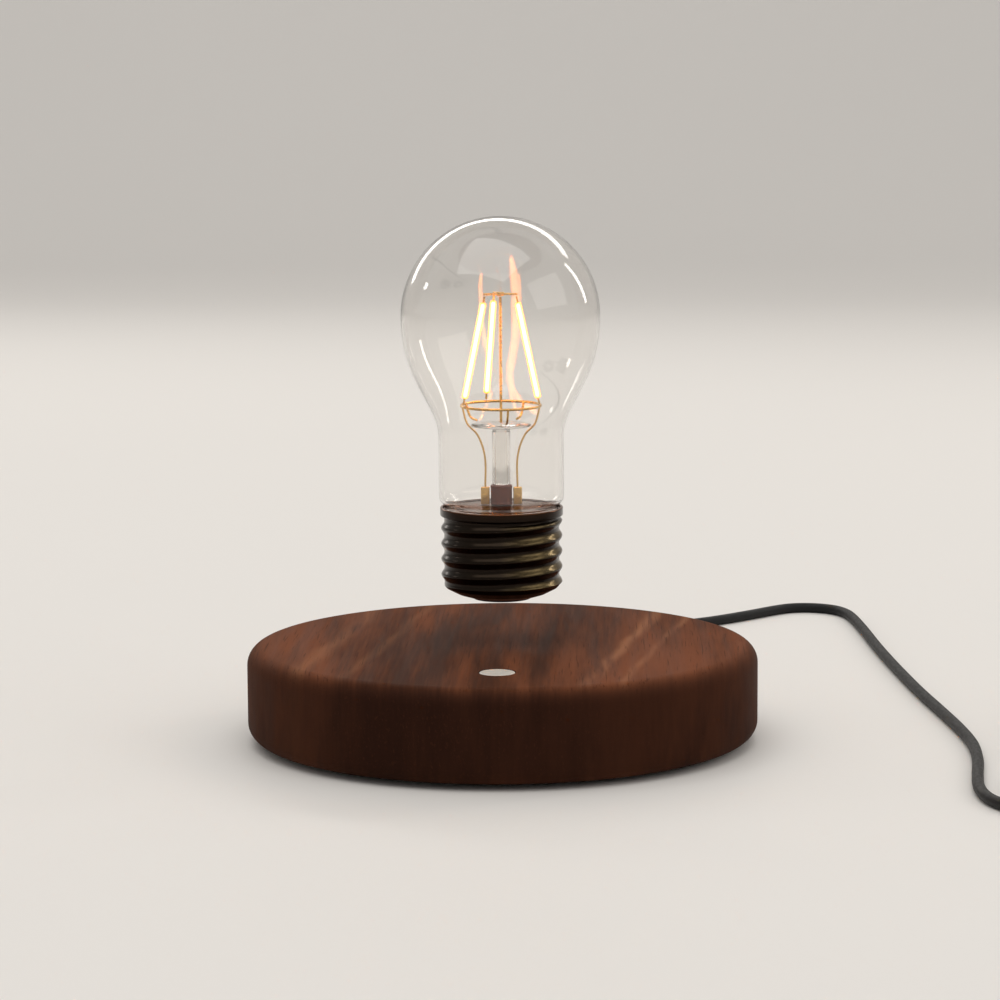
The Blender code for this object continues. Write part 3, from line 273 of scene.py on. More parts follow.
def grooved(start, end, first, last, pitch, depth, phase=0.0, count=50):
    """Outline of a sleeve that tapers from radius first to radius last.

    It is less by the grooves' depth where cos(2 pi (h - phase) / pitch) < -0.3.
    """
    rise = np.linspace(start, end, count)
    radius = np.interp(rise, (start, end), (first, last))
    radius -= depth * (np.cos((rise - phase) / pitch * 2 * np.pi) < -0.3)
    return np.stack((radius, rise), axis=1)


def bezier(a, b, c, d, share):
    """Cubic curve: (1-s)^3 a + 3 (1-s)^2 s b + 3 (1-s) s^2 c + s^3 d."""
    a, b, c, d = (np.array(corner) for corner in (a, b, c, d))
    rest = 1 - share
    return rest ** 3 * a + 3 * rest ** 2 * share * b + 3 * rest * share ** 2 * c + share ** 3 * d


def even_points(points, spacing):
    """Points a spacing apart along a line, found from its running length."""
    run = np.concatenate(([0], np.cumsum(np.linalg.norm(np.diff(points, axis=0), axis=1))))
    wanted = np.linspace(0, run[-1], max(2, round(run[-1] / spacing)) + 1)
    return np.stack([np.interp(wanted, run, points[:, axis]) for axis in range(3)], axis=1)


def smooth_line(corners, spacing):
    """Catmull-Rom curve through its corners, as points a spacing apart.

    Between b and c, with a before and d after, and s from 0 to 1, a point is
    b + m s + (3 (c-b) - 2 m - n) s^2 + (2 (b-c) + m + n) s^3, m = (c-a) / 2, n = (d-b) / 2.
    """
    corners = np.asarray(corners, float)
    padded = np.vstack((2 * corners[0] - corners[1], corners, 2 * corners[-1] - corners[-2]))
    before, start, end, after = (padded[i:len(padded) - 3 + i, None] for i in range(4))
    share = np.linspace(0, 1, curve_steps, endpoint=False).reshape(1, -1, 1)
    along, onward = (end - before) / 2, (after - start) / 2
    curve = start + along * share + (3 * (end - start) - 2 * along - onward) * share ** 2
    curve = curve + (2 * (start - end) + along + onward) * share ** 3
    return even_points(np.vstack((curve.reshape(-1, 3), corners[-1:])), spacing)


def coil_line(radius, diameter):
    """Spiral inwards on the table, one climb, and outwards on top.

    At turn t the angle is 2 pi t - pi / 2, the radius is outer - step (half - |half - t|), and
    the height rises by one step, smoothly, in the climb round the middle turn.
    """
    step, half = diameter + turn_gap, coil_turns / 2
    start_x, start_y = lead_route[-1][:2]
    centre = start_x + clearance + diameter, start_y + radius + step * coil_turns / 4, 0
    turn = np.linspace(0, coil_turns, round(coil_turns * points_a_turn) + 1)
    angle = 2 * np.pi * turn - np.pi / 2
    distance = radius + step * half / 2 - step * (half - np.abs(half - turn))
    rise = step * smooth_step((turn - half + climb_turns / 2) / climb_turns)
    height = tie_thickness + clearance + diameter / 2 + rise
    flat = np.stack((distance * np.cos(angle), distance * np.sin(angle), height), axis=1)
    return centre + flat


def turned(outline, steps=96, place=(0, 0, 0), axis=(0, 0, 1)):
    """Surface of revolution: row i, column j is place + h_i axis + r_i (cos a_j side + sin a_j up).

    side and up are square to the axis and to each other, and all three have length one.
    """
    outline = np.asarray(outline, float)[:, :2]
    axis = np.asarray(axis, float) / np.linalg.norm(axis)
    side = np.cross((0, 0, 1) if abs(axis[Z]) < 0.9 else (1, 0, 0), axis)
    side /= np.linalg.norm(side)
    angle = np.linspace(0, 2 * np.pi, steps, endpoint=False)[:, None]
    spokes = np.cos(angle) * side + np.sin(angle) * np.cross(axis, side)
    return np.asarray(place, float) + outline[:, None, 1:] * axis + outline[:, None, :1] * spokes


def swept(path, outline, reference=(0, 0, 1), closed=False):
    """Outline carried along a path: row i, column j is p_i + a_j side_i + b_j up_i.

    side is the path's direction crossed with the reference, and up is side crossed with the
    direction. An open path ends in rows that shrink to its end points.
    """
    path, outline = np.asarray(path, float), np.asarray(outline, float)
    if closed:
        ahead = np.roll(path, -1, axis=0) - np.roll(path, 1, axis=0)
    else:
        ahead = np.gradient(path, axis=0)
    ahead = ahead / np.linalg.norm(ahead, axis=1, keepdims=True)
    side = np.cross(ahead, reference)
    side /= np.linalg.norm(side, axis=1, keepdims=True)
    up = np.cross(side, ahead)
    rows = outline[None, :, :1] * side[:, None] + outline[None, :, 1:] * up[:, None]
    rows = path[:, None] + rows
    if closed:
        return rows
    tips = path[:1, None], path[-1:, None]
    start, end = (np.repeat(tip, len(outline), axis=1) for tip in tips)
    return np.concatenate((start, rows, end))


def on_jack(outline, steps, start=0):
    """An outline turned about the socket's axis, from a place along Y."""
    return turned(outline, steps, (0, start, jack_height), along_y)


def block(low_corner, high_corner, axis, edge, waist=()):
    """A box with rounded edges along one axis: row i, column j is c_j + (edge - d_i) n_j.

    c_j and n_j are the centres and directions of the four corner rounds, and d_i draws the row
    in by edge (1 - cos t) where it turns over each end. waist gives (share, depth) grooves.
    """
    low_corner, high_corner = np.asarray(low_corner, float), np.asarray(high_corner, float)
    across, up = [n for n in range(3) if n != axis]
    middle, half = (low_corner + high_corner) / 2, (high_corner - low_corner) / 2
    turn = np.linspace(0, np.pi / 2, 7)
    angle = (turn[None] + np.arange(4)[:, None] * np.pi / 2).ravel()
    signs = np.repeat(((1, 1), (-1, 1), (-1, -1), (1, -1)), len(turn), axis=0)
    centres = signs * (np.array((half[across], half[up])) - edge)
    normals = np.stack((np.cos(angle), np.sin(angle)), axis=1)
    start, end = low_corner[axis], high_corner[axis]
    rise = edge * (1 - np.cos(turn))
    along = np.concatenate((start + rise, end - rise[::-1]))
    draw = edge * (1 - np.sin(turn))
    draw = np.concatenate((draw, draw[::-1]))
    for share, depth in waist:
        groove = start + (end - start) * share + np.array((-1, -0.6, 0.6, 1)) * depth
        along = np.concatenate((along, groove))
        draw = np.concatenate((draw, (0, depth, depth, 0)))
    order = np.argsort(along, kind="stable")
    along, draw = along[order], draw[order]
    flat = centres[None] + (edge - draw)[:, None, None] * normals[None]
    flat = np.concatenate((flat[:1] * 0, flat, flat[-1:] * 0))
    grid = np.empty(flat.shape[:2] + (3,))
    grid[..., across] = middle[across] + flat[..., 0]
    grid[..., up] = middle[up] + flat[..., 1]
    grid[..., axis] = np.concatenate((along[:1], along, along[-1:]))[:, None]
    return grid


def grid_faces(here, there):
    """A face between each column, the next one, and the next row."""
    return np.stack((here, np.roll(here, -1, axis=1), np.roll(there, -1, axis=1), there), axis=-1)


def mesh_of(name, surfaces):
    """One closed mesh from a grid, or from surfaces (grid, joined ends, material number).

    Row i, column j and its next row and column make a face. The columns close round, and the
    rows too where the ends are joined. The UV map holds lengths in metres along and round.
    """
    if isinstance(surfaces, np.ndarray):
        surfaces = [(surfaces, False, 0)]
    points, faces, maps, numbers, count = [], [], [], [], 0
    for grid, joined, number in surfaces:
        rows, columns = grid.shape[:2]
        index = np.arange(rows * columns).reshape(rows, columns) + count
        here, there = (index, np.roll(index, -1, axis=0)) if joined else (index[:-1], index[1:])
        faces.append(grid_faces(here, there).reshape(-1, 4))
        ahead = np.roll(grid, -1, axis=0) if joined else grid[1:]
        rise = np.linalg.norm(ahead - grid[:len(ahead)], axis=-1).mean(axis=1)
        run = np.concatenate(([0], np.cumsum(rise)))
        girth = np.linalg.norm(np.roll(grid, -1, axis=1) - grid, axis=-1).sum(axis=1).max()
        u_here, u_there, v_here = (np.broadcast_to(length, here.shape) for length in (
            run[:-1, None], run[1:, None], girth * np.arange(columns) / columns))
        v_there = v_here + girth / columns
        corners = ((u_here, v_here), (u_here, v_there), (u_there, v_there), (u_there, v_here))
        corners = [np.stack(corner, axis=-1) for corner in corners]
        maps.append(np.stack(corners, axis=2).reshape(-1, 2))
        points.append(grid.reshape(-1, 3))
        numbers.append(np.full(here.size, number))
        count += rows * columns
    mesh = bpy.data.meshes.new(name)
    mesh.from_pydata(np.concatenate(points).tolist(), [], np.concatenate(faces).tolist())
    mesh.uv_layers.new(name="lengths").uv.foreach_set("vector", np.concatenate(maps).ravel())
    mesh.polygons.foreach_set("material_index", np.concatenate(numbers))
    clean = bmesh.new()
    clean.from_mesh(mesh)
    bmesh.ops.remove_doubles(clean, verts=clean.verts, dist=1e-7)
    bmesh.ops.recalc_face_normals(clean, faces=clean.faces)
    clean.to_mesh(mesh)
    clean.free()
    return mesh


def add_object(name, data):
    """Puts a mesh, a lamp or a camera into the scene."""
    made = bpy.data.objects.new(name, data)
    bpy.context.collection.objects.link(made)
    return made


def make_piece(name, shape, materials, body, nodes, sharp=40):
    """Makes a piece from a mesh or its surfaces. It rides on a body and stands for CAD nodes."""
    mesh = shape if isinstance(shape, bpy.types.Mesh) else mesh_of(name, shape)
    for material in materials:
        mesh.materials.append(material)
    mesh.shade_smooth()
    mesh.set_sharp_from_angle(angle=math.radians(sharp))
    piece = add_object(name, mesh)
    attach(piece, body)
    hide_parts(*nodes)
    return piece


def cut(mesh, tools):
    """The mesh with each tool's surface taken out of it by exact Boolean."""
    part = add_object("blank", mesh)
    cutters = []
    for number, grid in enumerate(tools):
        cutters.append(add_object(f"tool {number}", mesh_of("tool", grid)))
        step = part.modifiers.new("cut", "BOOLEAN")
        step.operation, step.solver, step.object = "DIFFERENCE", "EXACT", cutters[-1]
    shaped = part.evaluated_get(bpy.context.evaluated_depsgraph_get())
    result = bpy.data.meshes.new_from_object(shaped)
    result.materials.clear()
    for used in [part] + cutters:
        bpy.data.objects.remove(used)
    return result


# Finishes


def tint(colour, factor):
    """A colour made lighter or darker by a factor."""
    return tuple(min(1.0, part * factor) for part in colour[:3])


class Finish:
    """A material under work. Its shader's sockets go by their names with _ for a space."""

    def __init__(self, name, **values):
        self.material = bpy.data.materials.new(name)
        self.material.use_nodes = True
        self.tree = self.material.node_tree
        self.shader = self.tree.nodes["Principled BSDF"]
        for key, value in values.items():
            self.shader.inputs[key.replace("_", " ")].default_value = value

    def join(self, **sockets):
        """Joins node outputs to the shader's sockets, and gives the material."""
        for key, value in sockets.items():
            self.tree.links.new(value, self.shader.inputs[key.replace("_", " ")])
        return self.material

    def node(self, kind, inputs=None, **settings):
        """Adds a shader node, joins or sets its inputs, and gives its outputs."""
        made = self.tree.nodes.new("ShaderNode" + kind)
        for key, value in settings.items():
            setattr(made, key, value)
        for key, value in (inputs or {}).items():
            if isinstance(value, bpy.types.NodeSocket):
                self.tree.links.new(value, made.inputs[key])
            else:
                made.inputs[key].default_value = value
        return made.outputs

    def at(self, scale=(1, 1, 1), turn=(0, 0, 0), move=(0, 0, 0)):
        """Object coordinates, scaled, then turned, then moved."""
        inputs = {"Scale": scale, "Rotation": turn, "Location": move}
        inputs["Vector"] = self.node("TexCoord")["Object"]
        return self.node("Mapping", inputs)["Vector"]

    def noise(self, at, scale, detail=4.0, distortion=0.0):
        """Cloudy numbers from 0 to 1."""
        inputs = {"Vector": at, "Scale": scale, "Detail": detail, "Distortion": distortion}
        return self.node("TexNoise", inputs)["Fac"]

    def waves(self, at, scale, distortion, kind="rings"):
        """Rings about Z, or bands up it, from 0 to 1."""
        inputs = {"Vector": at, "Scale": scale, "Distortion": distortion}
        kinds = {"wave_type": kind.upper(), kind + "_direction": "Z"}
        return self.node("TexWave", inputs, **kinds)["Fac"]

    def work_out(self, operation, first, second=0.5, clamp=False):
        """A sum, product or other operation on two numbers."""
        settings = {"operation": operation, "use_clamp": clamp}
        return self.node("Math", {0: first, 1: second}, **settings)[0]

    def times(self, first, second, clamp=False):
        """A product, held between 0 and 1 where it is clamped."""
        return self.work_out("MULTIPLY", first, second, clamp)

    def plus(self, first, second):
        """A sum."""
        return self.work_out("ADD", first, second)

    def fit(self, value, start, end, low_value=0.0, high_value=1.0):
        """Carries start..end smoothly to low..high."""
        inputs = {"Value": value, "From Min": start, "From Max": end}
        inputs.update({"To Min": low_value, "To Max": high_value})
        return self.node("MapRange", inputs, interpolation_type="SMOOTHSTEP")["Result"]

    def blend(self, share, first, second):
        """A colour between two, by a share from 0 to 1."""
        first, second = (
            colour if isinstance(colour, bpy.types.NodeSocket) else (*colour[:3], 1)
            for colour in (first, second)
        )
        return self.node("Mix", {0: share, 6: first, 7: second}, data_type="RGBA")[2]

    def bump(self, height, strength, distance):
        """A height as a change of the surface's direction."""
        inputs = {"Height": height, "Strength": strength, "Distance": distance}
        return self.node("Bump", inputs)["Normal"]


def walnut_finish(colours):
    """Oiled walnut sawn so that its layers stand on edge, with the grain along Y.

    Broad bands, fine lines, fibres and pores vary across X and little along Y and Z, with pale
    streaks (middle, half width, strength) over them. The side that the lathe has cut is darker
    than the top by painted shade, and darkest at the front and back, where that painted shade
    joins the darker end grain.
    """
    wood = Finish("walnut", Specular_IOR_Level=0.02)
    turn = (0, 0, math.radians(9))
    bands, lines, fibres, pores = (
        wood.noise(wood.at((1, along, up), turn), scale, detail, distortion)
        for along, up, scale, detail, distortion in (
            (0.13, 0.30, 42.0, 3.0, 0.5), (0.06, 0.20, 210.0, 4.0, 0.4),
            (0.045, 0.12, 950.0, 5.0, 0.0), (0.03, 0.5, 1700.0, 2.0, 0.0),
        )
    )
    tone = wood.plus(wood.times(bands, 0.62), wood.times(lines, 0.26))
    tone = wood.plus(tone, wood.times(fibres, 0.16))
    ground = wood.blend(wood.fit(tone, 0.36, 0.70), colours.walnut_dark, colours.walnut)

    wavy = wood.times(wood.noise(wood.at((1, 0.5, 0.5), turn), 30.0, 2.0), 0.012)
    across = wood.plus(wood.node("SeparateXYZ", {"Vector": wood.at(turn=turn)})["X"], wavy)
    pale = []
    for middle, half, strength in (
        (0.0440, 0.0032, 0.65), (0.0540, 0.0024, 0.42),
        (-0.0450, 0.0045, 0.38), (-0.0300, 0.0030, 0.22),
    ):
        away = wood.work_out("ABSOLUTE", wood.work_out("SUBTRACT", across, middle))
        pale.append(wood.fit(away, half, 0.0, 0.0, strength))
    normal = wood.node("SeparateXYZ", {"Vector": wood.node("NewGeometry")["Normal"]})
    end_grain = wood.work_out("POWER", wood.work_out("ABSOLUTE", normal["Y"]), 1.3)
    streaks = wood.times(functools.reduce(wood.plus, pale), wood.fit(lines, 0.3, 0.6), True)
    streaks = wood.times(streaks, wood.fit(end_grain, 0.0, 0.7, 1.0, 0.15))
    ground = wood.blend(streaks, ground, colours.walnut_light)

    # Painted shade: everything but the top blends towards the end grain colour, more where it faces
    # front or back, where it also shows end grain.
    level = wood.work_out("POWER", wood.work_out("MAXIMUM", normal["Z"], 0.0), 4.0)
    side_shade_and_end_grain = wood.plus(wood.times(end_grain, 0.32), 0.58)
    side_shade_and_end_grain = wood.times(wood.work_out("SUBTRACT", 1.0, level), side_shade_and_end_grain)
    ground = wood.blend(side_shade_and_end_grain, ground, colours.walnut_end_and_side_shade)
    dark_pores = wood.fit(pores, 0.58, 0.70, 0.0, 0.5)
    height = wood.work_out("SUBTRACT", wood.times(fibres, 0.4), dark_pores)
    return wood.join(
        Base_Color=wood.blend(dark_pores, ground, colours.walnut_dark),
        Roughness=wood.fit(lines, 0.3, 0.7, 0.54, 0.68), Normal=wood.bump(height, 0.3, 0.0001),
    )


def metal_finish(name, colour, gloss=0.25, scale=900.0, wear=0.25, streak=(1, 1, 1), depth=0.00002):
    """Metal with fine marks: lighter and darker clouds, uneven gloss and faint tool marks."""
    metal = Finish(name, Metallic=1.0)
    marks = metal.noise(metal.at(streak), scale, 5.0)
    share = metal.fit(metal.noise(metal.at(), scale / 14, 3.0), 0.3, 0.7, 0.0, wear)
    return metal.join(
        Base_Color=metal.blend(share, colour, tint(colour, 0.6)),
        Roughness=metal.fit(marks, 0.25, 0.75, gloss * 0.75, gloss * 1.4),
        Normal=metal.bump(marks, 0.25, depth),
    )


def moulded_finish(name, colour, gloss=0.45, scale=1800.0, depth=0.00003):
    """Moulded plastic or rubber: a fine spark-eroded grain, uneven in tone and gloss."""
    plastic = Finish(name)
    clouds = plastic.noise(plastic.at(), scale / 30, 3.0)
    return plastic.join(
        Base_Color=plastic.blend(clouds, tint(colour, 0.8), tint(colour, 1.25)),
        Roughness=plastic.fit(clouds, 0.3, 0.7, gloss * 0.9, gloss * 1.12),
        Normal=plastic.bump(plastic.noise(plastic.at(), scale, 3.0), 0.3, depth),
    )


def touch_finish():
    """Turned metal: circular tool marks about the pad's middle."""
    metal = Finish("touch metal", Metallic=0.55)
    at = metal.at(move=(-pad_centre[X], -pad_centre[Y], 0))
    rings = metal.waves(at, 900.0, 0.6)
    marks = metal.noise(at, 1400.0, 4.0)
    return metal.join(
        Base_Color=metal.blend(marks, (0.93, 0.88, 0.81), (0.80, 0.74, 0.66)),
        Roughness=metal.fit(rings, 0.0, 1.0, 0.34, 0.46), Normal=metal.bump(rings, 0.2, 0.00001),
    )


def cap_finish(colours):
    """Black nickel with a painted highlight of olive brass on the thread's upper flanks towards +X,
    and a bronze rim.
    """
    metal = Finish("cap metal", Metallic=1.0)
    flank, rim = (metal.node("Attribute", attribute_name=name)["Fac"] for name in ("worn", "rim"))
    marks = metal.noise(metal.at((1, 1, 3)), 700.0, 5.0)
    across = metal.node("SeparateXYZ", {"Vector": metal.at()})["X"]
    # Painted highlight: olive brass on the upper flank of each thread, faded out away from +X,
    # where the lamps light the thread.
    worn = metal.times(metal.fit(flank, 0.25, 1.0), metal.fit(marks, 0.25, 0.7, 0.6, 1.0))
    worn = metal.times(worn, metal.fit(across, -0.001, 0.015, 0.03, 1.0))
    black = colours.black_metal
    base = metal.blend(worn, metal.blend(marks, tint(black, 0.7), tint(black, 1.3)), colours.worn)
    return metal.join(
        Base_Color=metal.blend(rim, base, colours.bronze),
        Roughness=metal.fit(marks, 0.2, 0.8, 0.17, 0.25), Normal=metal.bump(marks, 0.08, 0.00002),
    )


def plate_finish(colours):
    """Bronze plate with turning rings about the bulb's axis."""
    metal = Finish("plate bronze", Metallic=1.0)
    rings = metal.waves(metal.at(), 420.0, 1.2)
    clouds = metal.noise(metal.at(), 160.0, 4.0)
    return metal.join(
        Base_Color=metal.blend(clouds, tint(colours.bronze, 0.6), tint(colours.bronze, 1.4)),
        Roughness=metal.fit(rings, 0.0, 1.0, 0.18, 0.30), Normal=metal.bump(rings, 0.15, 0.00003),
    )


def cord_finish(colours):
    """Soft black cord: a faint ripple round it from extrusion, read from its own UV map."""
    cord = Finish("cord black", Specular_IOR_Level=0.22)
    lengths = cord.node("UVMap", uv_map="lengths")["UV"]
    along = cord.node("Mapping", {"Vector": lengths, "Scale": (1.0, 3.0, 1.0)})["Vector"]
    ripple = cord.noise(along, 320.0, 4.0)
    clouds = cord.noise(lengths, 22.0, 2.0)
    return cord.join(
        Base_Color=cord.blend(clouds, tint(colours.black, 0.8), tint(colours.black, 1.5)),
        Roughness=cord.fit(ripple, 0.3, 0.7, 0.46, 0.58), Normal=cord.bump(ripple, 0.35, 0.00006),
    )


def glass_finish(name, tone, depth, density):
    """Clear glass with the faint waves of blown glass and a little grey in its thickness.

    It lets the lamps' light through.
    """
    glass = Finish(name, Transmission_Weight=1.0, IOR=1.47, Specular_IOR_Level=0.5)
    waves = glass.noise(glass.at((1, 1, 0.45)), 55.0, 2.0)
    shadow = glass.node("LightPath")["Is Shadow Ray"]
    passing = glass.node("BsdfTransparent", {"Color": (*tint(tone, 0.93), 1)})["BSDF"]
    mixed = glass.node("MixShader", {0: shadow, 1: glass.shader.outputs["BSDF"], 2: passing})
    inside = glass.node("VolumeAbsorption", {"Color": (0.72, 0.69, 0.66, 1), "Density": density})
    output = glass.tree.nodes["Material Output"].inputs
    glass.tree.links.new(mixed["Shader"], output["Surface"])
    glass.tree.links.new(inside["Volume"], output["Volume"])
    return glass.join(
        Base_Color=glass.blend(waves, tone, tint(tone, 0.985)),
        Roughness=glass.fit(waves, 0.2, 0.8, 0.0, 0.012), Normal=glass.bump(waves, 0.12, depth),
    )


def glow_finish(name, colour, strength, speckle, **values):
    """Lit phosphor: its light varies with the grain of the gel along the bar."""
    lit = Finish(name, Roughness=0.5, **values)
    grain = lit.noise(lit.at(), 1300.0, 3.0)
    return lit.join(
        Base_Color=lit.blend(grain, tint(colour, 0.8), colour),
        Emission_Color=lit.blend(grain, tint(colour, 0.9), colour),
        Emission_Strength=lit.fit(grain, 0.25, 0.75, strength * (1 - speckle), strength),
    )


def board_finish():
    """Green circuit laminate: woven glass under the mask, with copper tracks showing through."""
    board = Finish("board laminate", Roughness=0.4)
    at = board.at()
    weave = board.node("TexChecker", {"Vector": at, "Scale": 1400.0})["Fac"]
    between, track = (0, 0, 0, 1), (1, 1, 1, 1)
    tracks = board.node("TexBrick", {
        "Vector": at, "Scale": 60.0, "Mortar Size": 0.04, "Color1": between, "Color2": between,
        "Mortar": track,
    })["Color"]
    ground = board.blend(board.times(weave, 0.25), (0.01, 0.10, 0.045), (0.02, 0.14, 0.06))
    return board.join(
        Base_Color=board.blend(board.times(tracks, 0.6), ground, (0.03, 0.22, 0.08)),
        Normal=board.bump(weave, 0.1, 0.00003),
    )


def winding_finish(name):
    """Enamelled copper wire: fine round wires side by side, up the winding."""
    copper = (0.62, 0.26, 0.12)
    metal = Finish(name, Metallic=0.9)
    wires = metal.waves(metal.at(), 900.0, 0.4, "bands")
    # Painted shade: the colour darkens in the grooves between the wires, following the same waves
    # as the bump.
    return metal.join(
        Base_Color=metal.blend(wires, tint(copper, 0.35), copper),
        Roughness=metal.fit(wires, 0.0, 1.0, 0.5, 0.25), Normal=metal.bump(wires, 0.6, 0.0001),
    )


# Pieces


class LampOperator:
    """What every operator of the lamp shares."""

    bl_options = {"REGISTER", "UNDO"}

    @property
    def sizes(self):
        return bpy.context.scene.lamp_sizes

    @property
    def colours(self):
        return bpy.context.scene.lamp_colours


class LAMP_OT_camera(LampOperator, bpy.types.Operator):
    """Place the camera where the picture was taken from."""

    bl_idname = "lamp.camera"
    bl_label = "Camera"

    def execute(self, context):
        data = bpy.data.cameras.new("camera")
        data.sensor_width, data.lens, data.shift_x = 36.0, 129.78, -0.0015
        data.clip_start, data.clip_end = 0.05, 20.0
        camera = add_object("camera", data)
        turn, distance, height = math.radians(1.831), 1.0799, 0.2232
        tilt, roll = math.radians(90 - 7.906), math.radians(-0.35)
        look = Matrix.Rotation(turn, 4, "Z") @ Matrix.Rotation(tilt, 4, "X")
        look = look @ Matrix.Rotation(roll, 4, "Z")
        place = (distance * math.sin(turn), -distance * math.cos(turn), height)
        camera.matrix_world = Matrix.Translation(place) @ look
        context.scene.camera = camera
        return {"FINISHED"}


class LAMP_OT_plug(LampOperator, bpy.types.Operator):
    """Make the barrel plug with its ribbed grip and strain relief."""

    bl_idname = "lamp.plug"
    bl_label = "Plug"

    def execute(self, context):
        start, end = span("plug_body", Y)
        length, radius = end - start, high("plug_body", Z) - jack_height
        bore = self.sizes.cord_diameter / 2 + cord_gap
        rib_depth, rib_pitch = 0.00035, 0.003
        grip = np.linspace(0.0040, 0.0160, 61)
        ribs = 0.5 - 0.5 * np.cos((grip - 0.0040) / rib_pitch * 2 * np.pi)
        outline = np.vstack((
            rounded(((0, 0, 0), (radius, 0, 0.0008), (radius, 0.0035, 0))),
            np.stack((radius - rib_depth * ribs, grip), axis=1),
            rounded((
                (radius, 0.0165, 0), (radius, 0.0190, 0.0008), (0.0035, 0.0190, 0.0002),
                (0.0034, 0.0194, 0),
            )),
            grooved(
                0.0195, 0.0312, 0.0034, 0.0025, pitch=0.0024, depth=0.0004, phase=0.0195,
                count=60,
            ),
            ((0.00245, length), (bore, length), (bore, length - bore_depth),
             (0, length - bore_depth)),
        ))
        body = on_jack(outline, 64, start)
        plastic = moulded_finish("lead plastic", self.colours.black, 0.42)
        make_piece("plug_grip", body, [plastic], "lead", ["plug_body"], sharp=30)

        tip, back = span("plug_barrel", Y)
        outer = rounded((
            (0, back, 0), (0.00275, back, 0), (0.00275, tip, 0.0004), (0.00215, tip, 0.0002),
            (0.00215, back - 0.0009, 0), (0, back - 0.0009, 0),
        ))
        inner, lining = 0.0013, 0.00208
        ring = rounded((
            (lining, tip + 0.0005, 0), (lining, tip + 0.0002, 0.0001),
            (inner, tip + 0.0002, 0.0001), (inner, back - 0.001, 0), (lining, back - 0.001, 0),
        ))
        surfaces = [(on_jack(outer, 48), False, 0), (on_jack(ring, 48), True, 1)]
        finishes = [metal_finish("nickel", nickel_tone, 0.22), plastic]
        make_piece("plug_sleeve", surfaces, finishes, "lead", ["plug_barrel"], sharp=30)
        return {"FINISHED"}


class LAMP_OT_tie(LampOperator, bpy.types.Operator):
    """Wrap the tie round the coil's turns."""

    bl_idname = "lamp.tie"
    bl_label = "Coil tie"

    def execute(self, context):
        low_corner, high_corner, middle = corners_of("coil_tie")
        half, thin = (high_corner - low_corner) / 2, tie_thickness / 2
        loop = oblong(half[Y] - thin, half[Z] - thin, edge=0.0014, steps=6)
        path = np.insert(loop, 0, 0, axis=1) + middle
        path = even_points(np.vstack((path, path[:1])), spacing=0.0004)[:-1]
        section = oblong(thin, half[X], edge=0.0003, steps=3)
        band = swept(path, section, (1, 0, 0), closed=True)
        finish = moulded_finish("tie band", tint(self.colours.black, 1.6), 0.6, 2600.0, 0.00008)
        surfaces = [(band, True, 0)]
        make_piece("cord_tie", surfaces, [finish], "lead", ["coil_tie"])
        return {"FINISHED"}


class LAMP_OT_adapter(LampOperator, bpy.types.Operator):
    """Make the wall adapter with its strain relief and blades."""

    bl_idname = "lamp.adapter"
    bl_label = "Wall adapter"

    def execute(self, context):
        plastic = moulded_finish("adapter plastic", tint(self.colours.black, 1.4), 0.4, 2200.0)
        parting, half_width, depth = (0.66, 0.0004), 0.0095, 0.0004
        panel = block(
            (case_middle[X] - half_width, case_low[Y] + 0.008, case_high[Z] - depth),
            (case_middle[X] + half_width, case_low[Y] + 0.031, case_high[Z] + 0.003),
            Z, edge=0.0002,
        )
        case = block(case_low, case_high, Y, edge=0.003, waist=(parting,))
        shell = mesh_of("adapter case", case)
        make_piece(
            "adapter_shell", cut(shell, [panel]), [plastic], "lead",
            ["adapter_case"], sharp=30)

        start, _, middle = corners_of("adapter_strain_relief")
        bore = self.sizes.cord_diameter / 2 + cord_gap
        outline = np.vstack((
            ((0, bore_depth), (bore, bore_depth), (bore, 0), (0.0024, 0)),
            grooved(0.0004, 0.0088, 0.0025, 0.0040, pitch=0.0021, depth=0.00045),
            rounded((
                (0.0040, 0.0090, 0), (0.0045, 0.0090, 0.0003), (0.0045, 0.012, 0), (0, 0.012, 0),
            )),
        ))
        relief = turned(outline, 56, (middle[X], start[Y], middle[Z]), along_y)
        make_piece(
            "adapter_relief", relief, [plastic], "lead",
            ["adapter_strain_relief"], sharp=30)

        nickel = metal_finish("blade nickel", nickel_tone, 0.26, 1200.0, 0.1, (1, 0.1, 1), 0.000006)
        for number in (1, 2):
            name = f"adapter_blade_{number}"
            low_corner, high_corner, middle = corners_of(name)
            hole_at = (middle[X], high_corner[Y] - 0.0036, middle[Z])
            hole = turned(drum(0.0015, -0.004, 0.004), 32, hole_at, (1, 0, 0))
            blade = cut(mesh_of(name, block(low_corner, high_corner, Y, edge=0.00045)), [hole])
            make_piece(f"blade_{number}", blade, [nickel], "lead", [name], sharp=30)
        return {"FINISHED"}


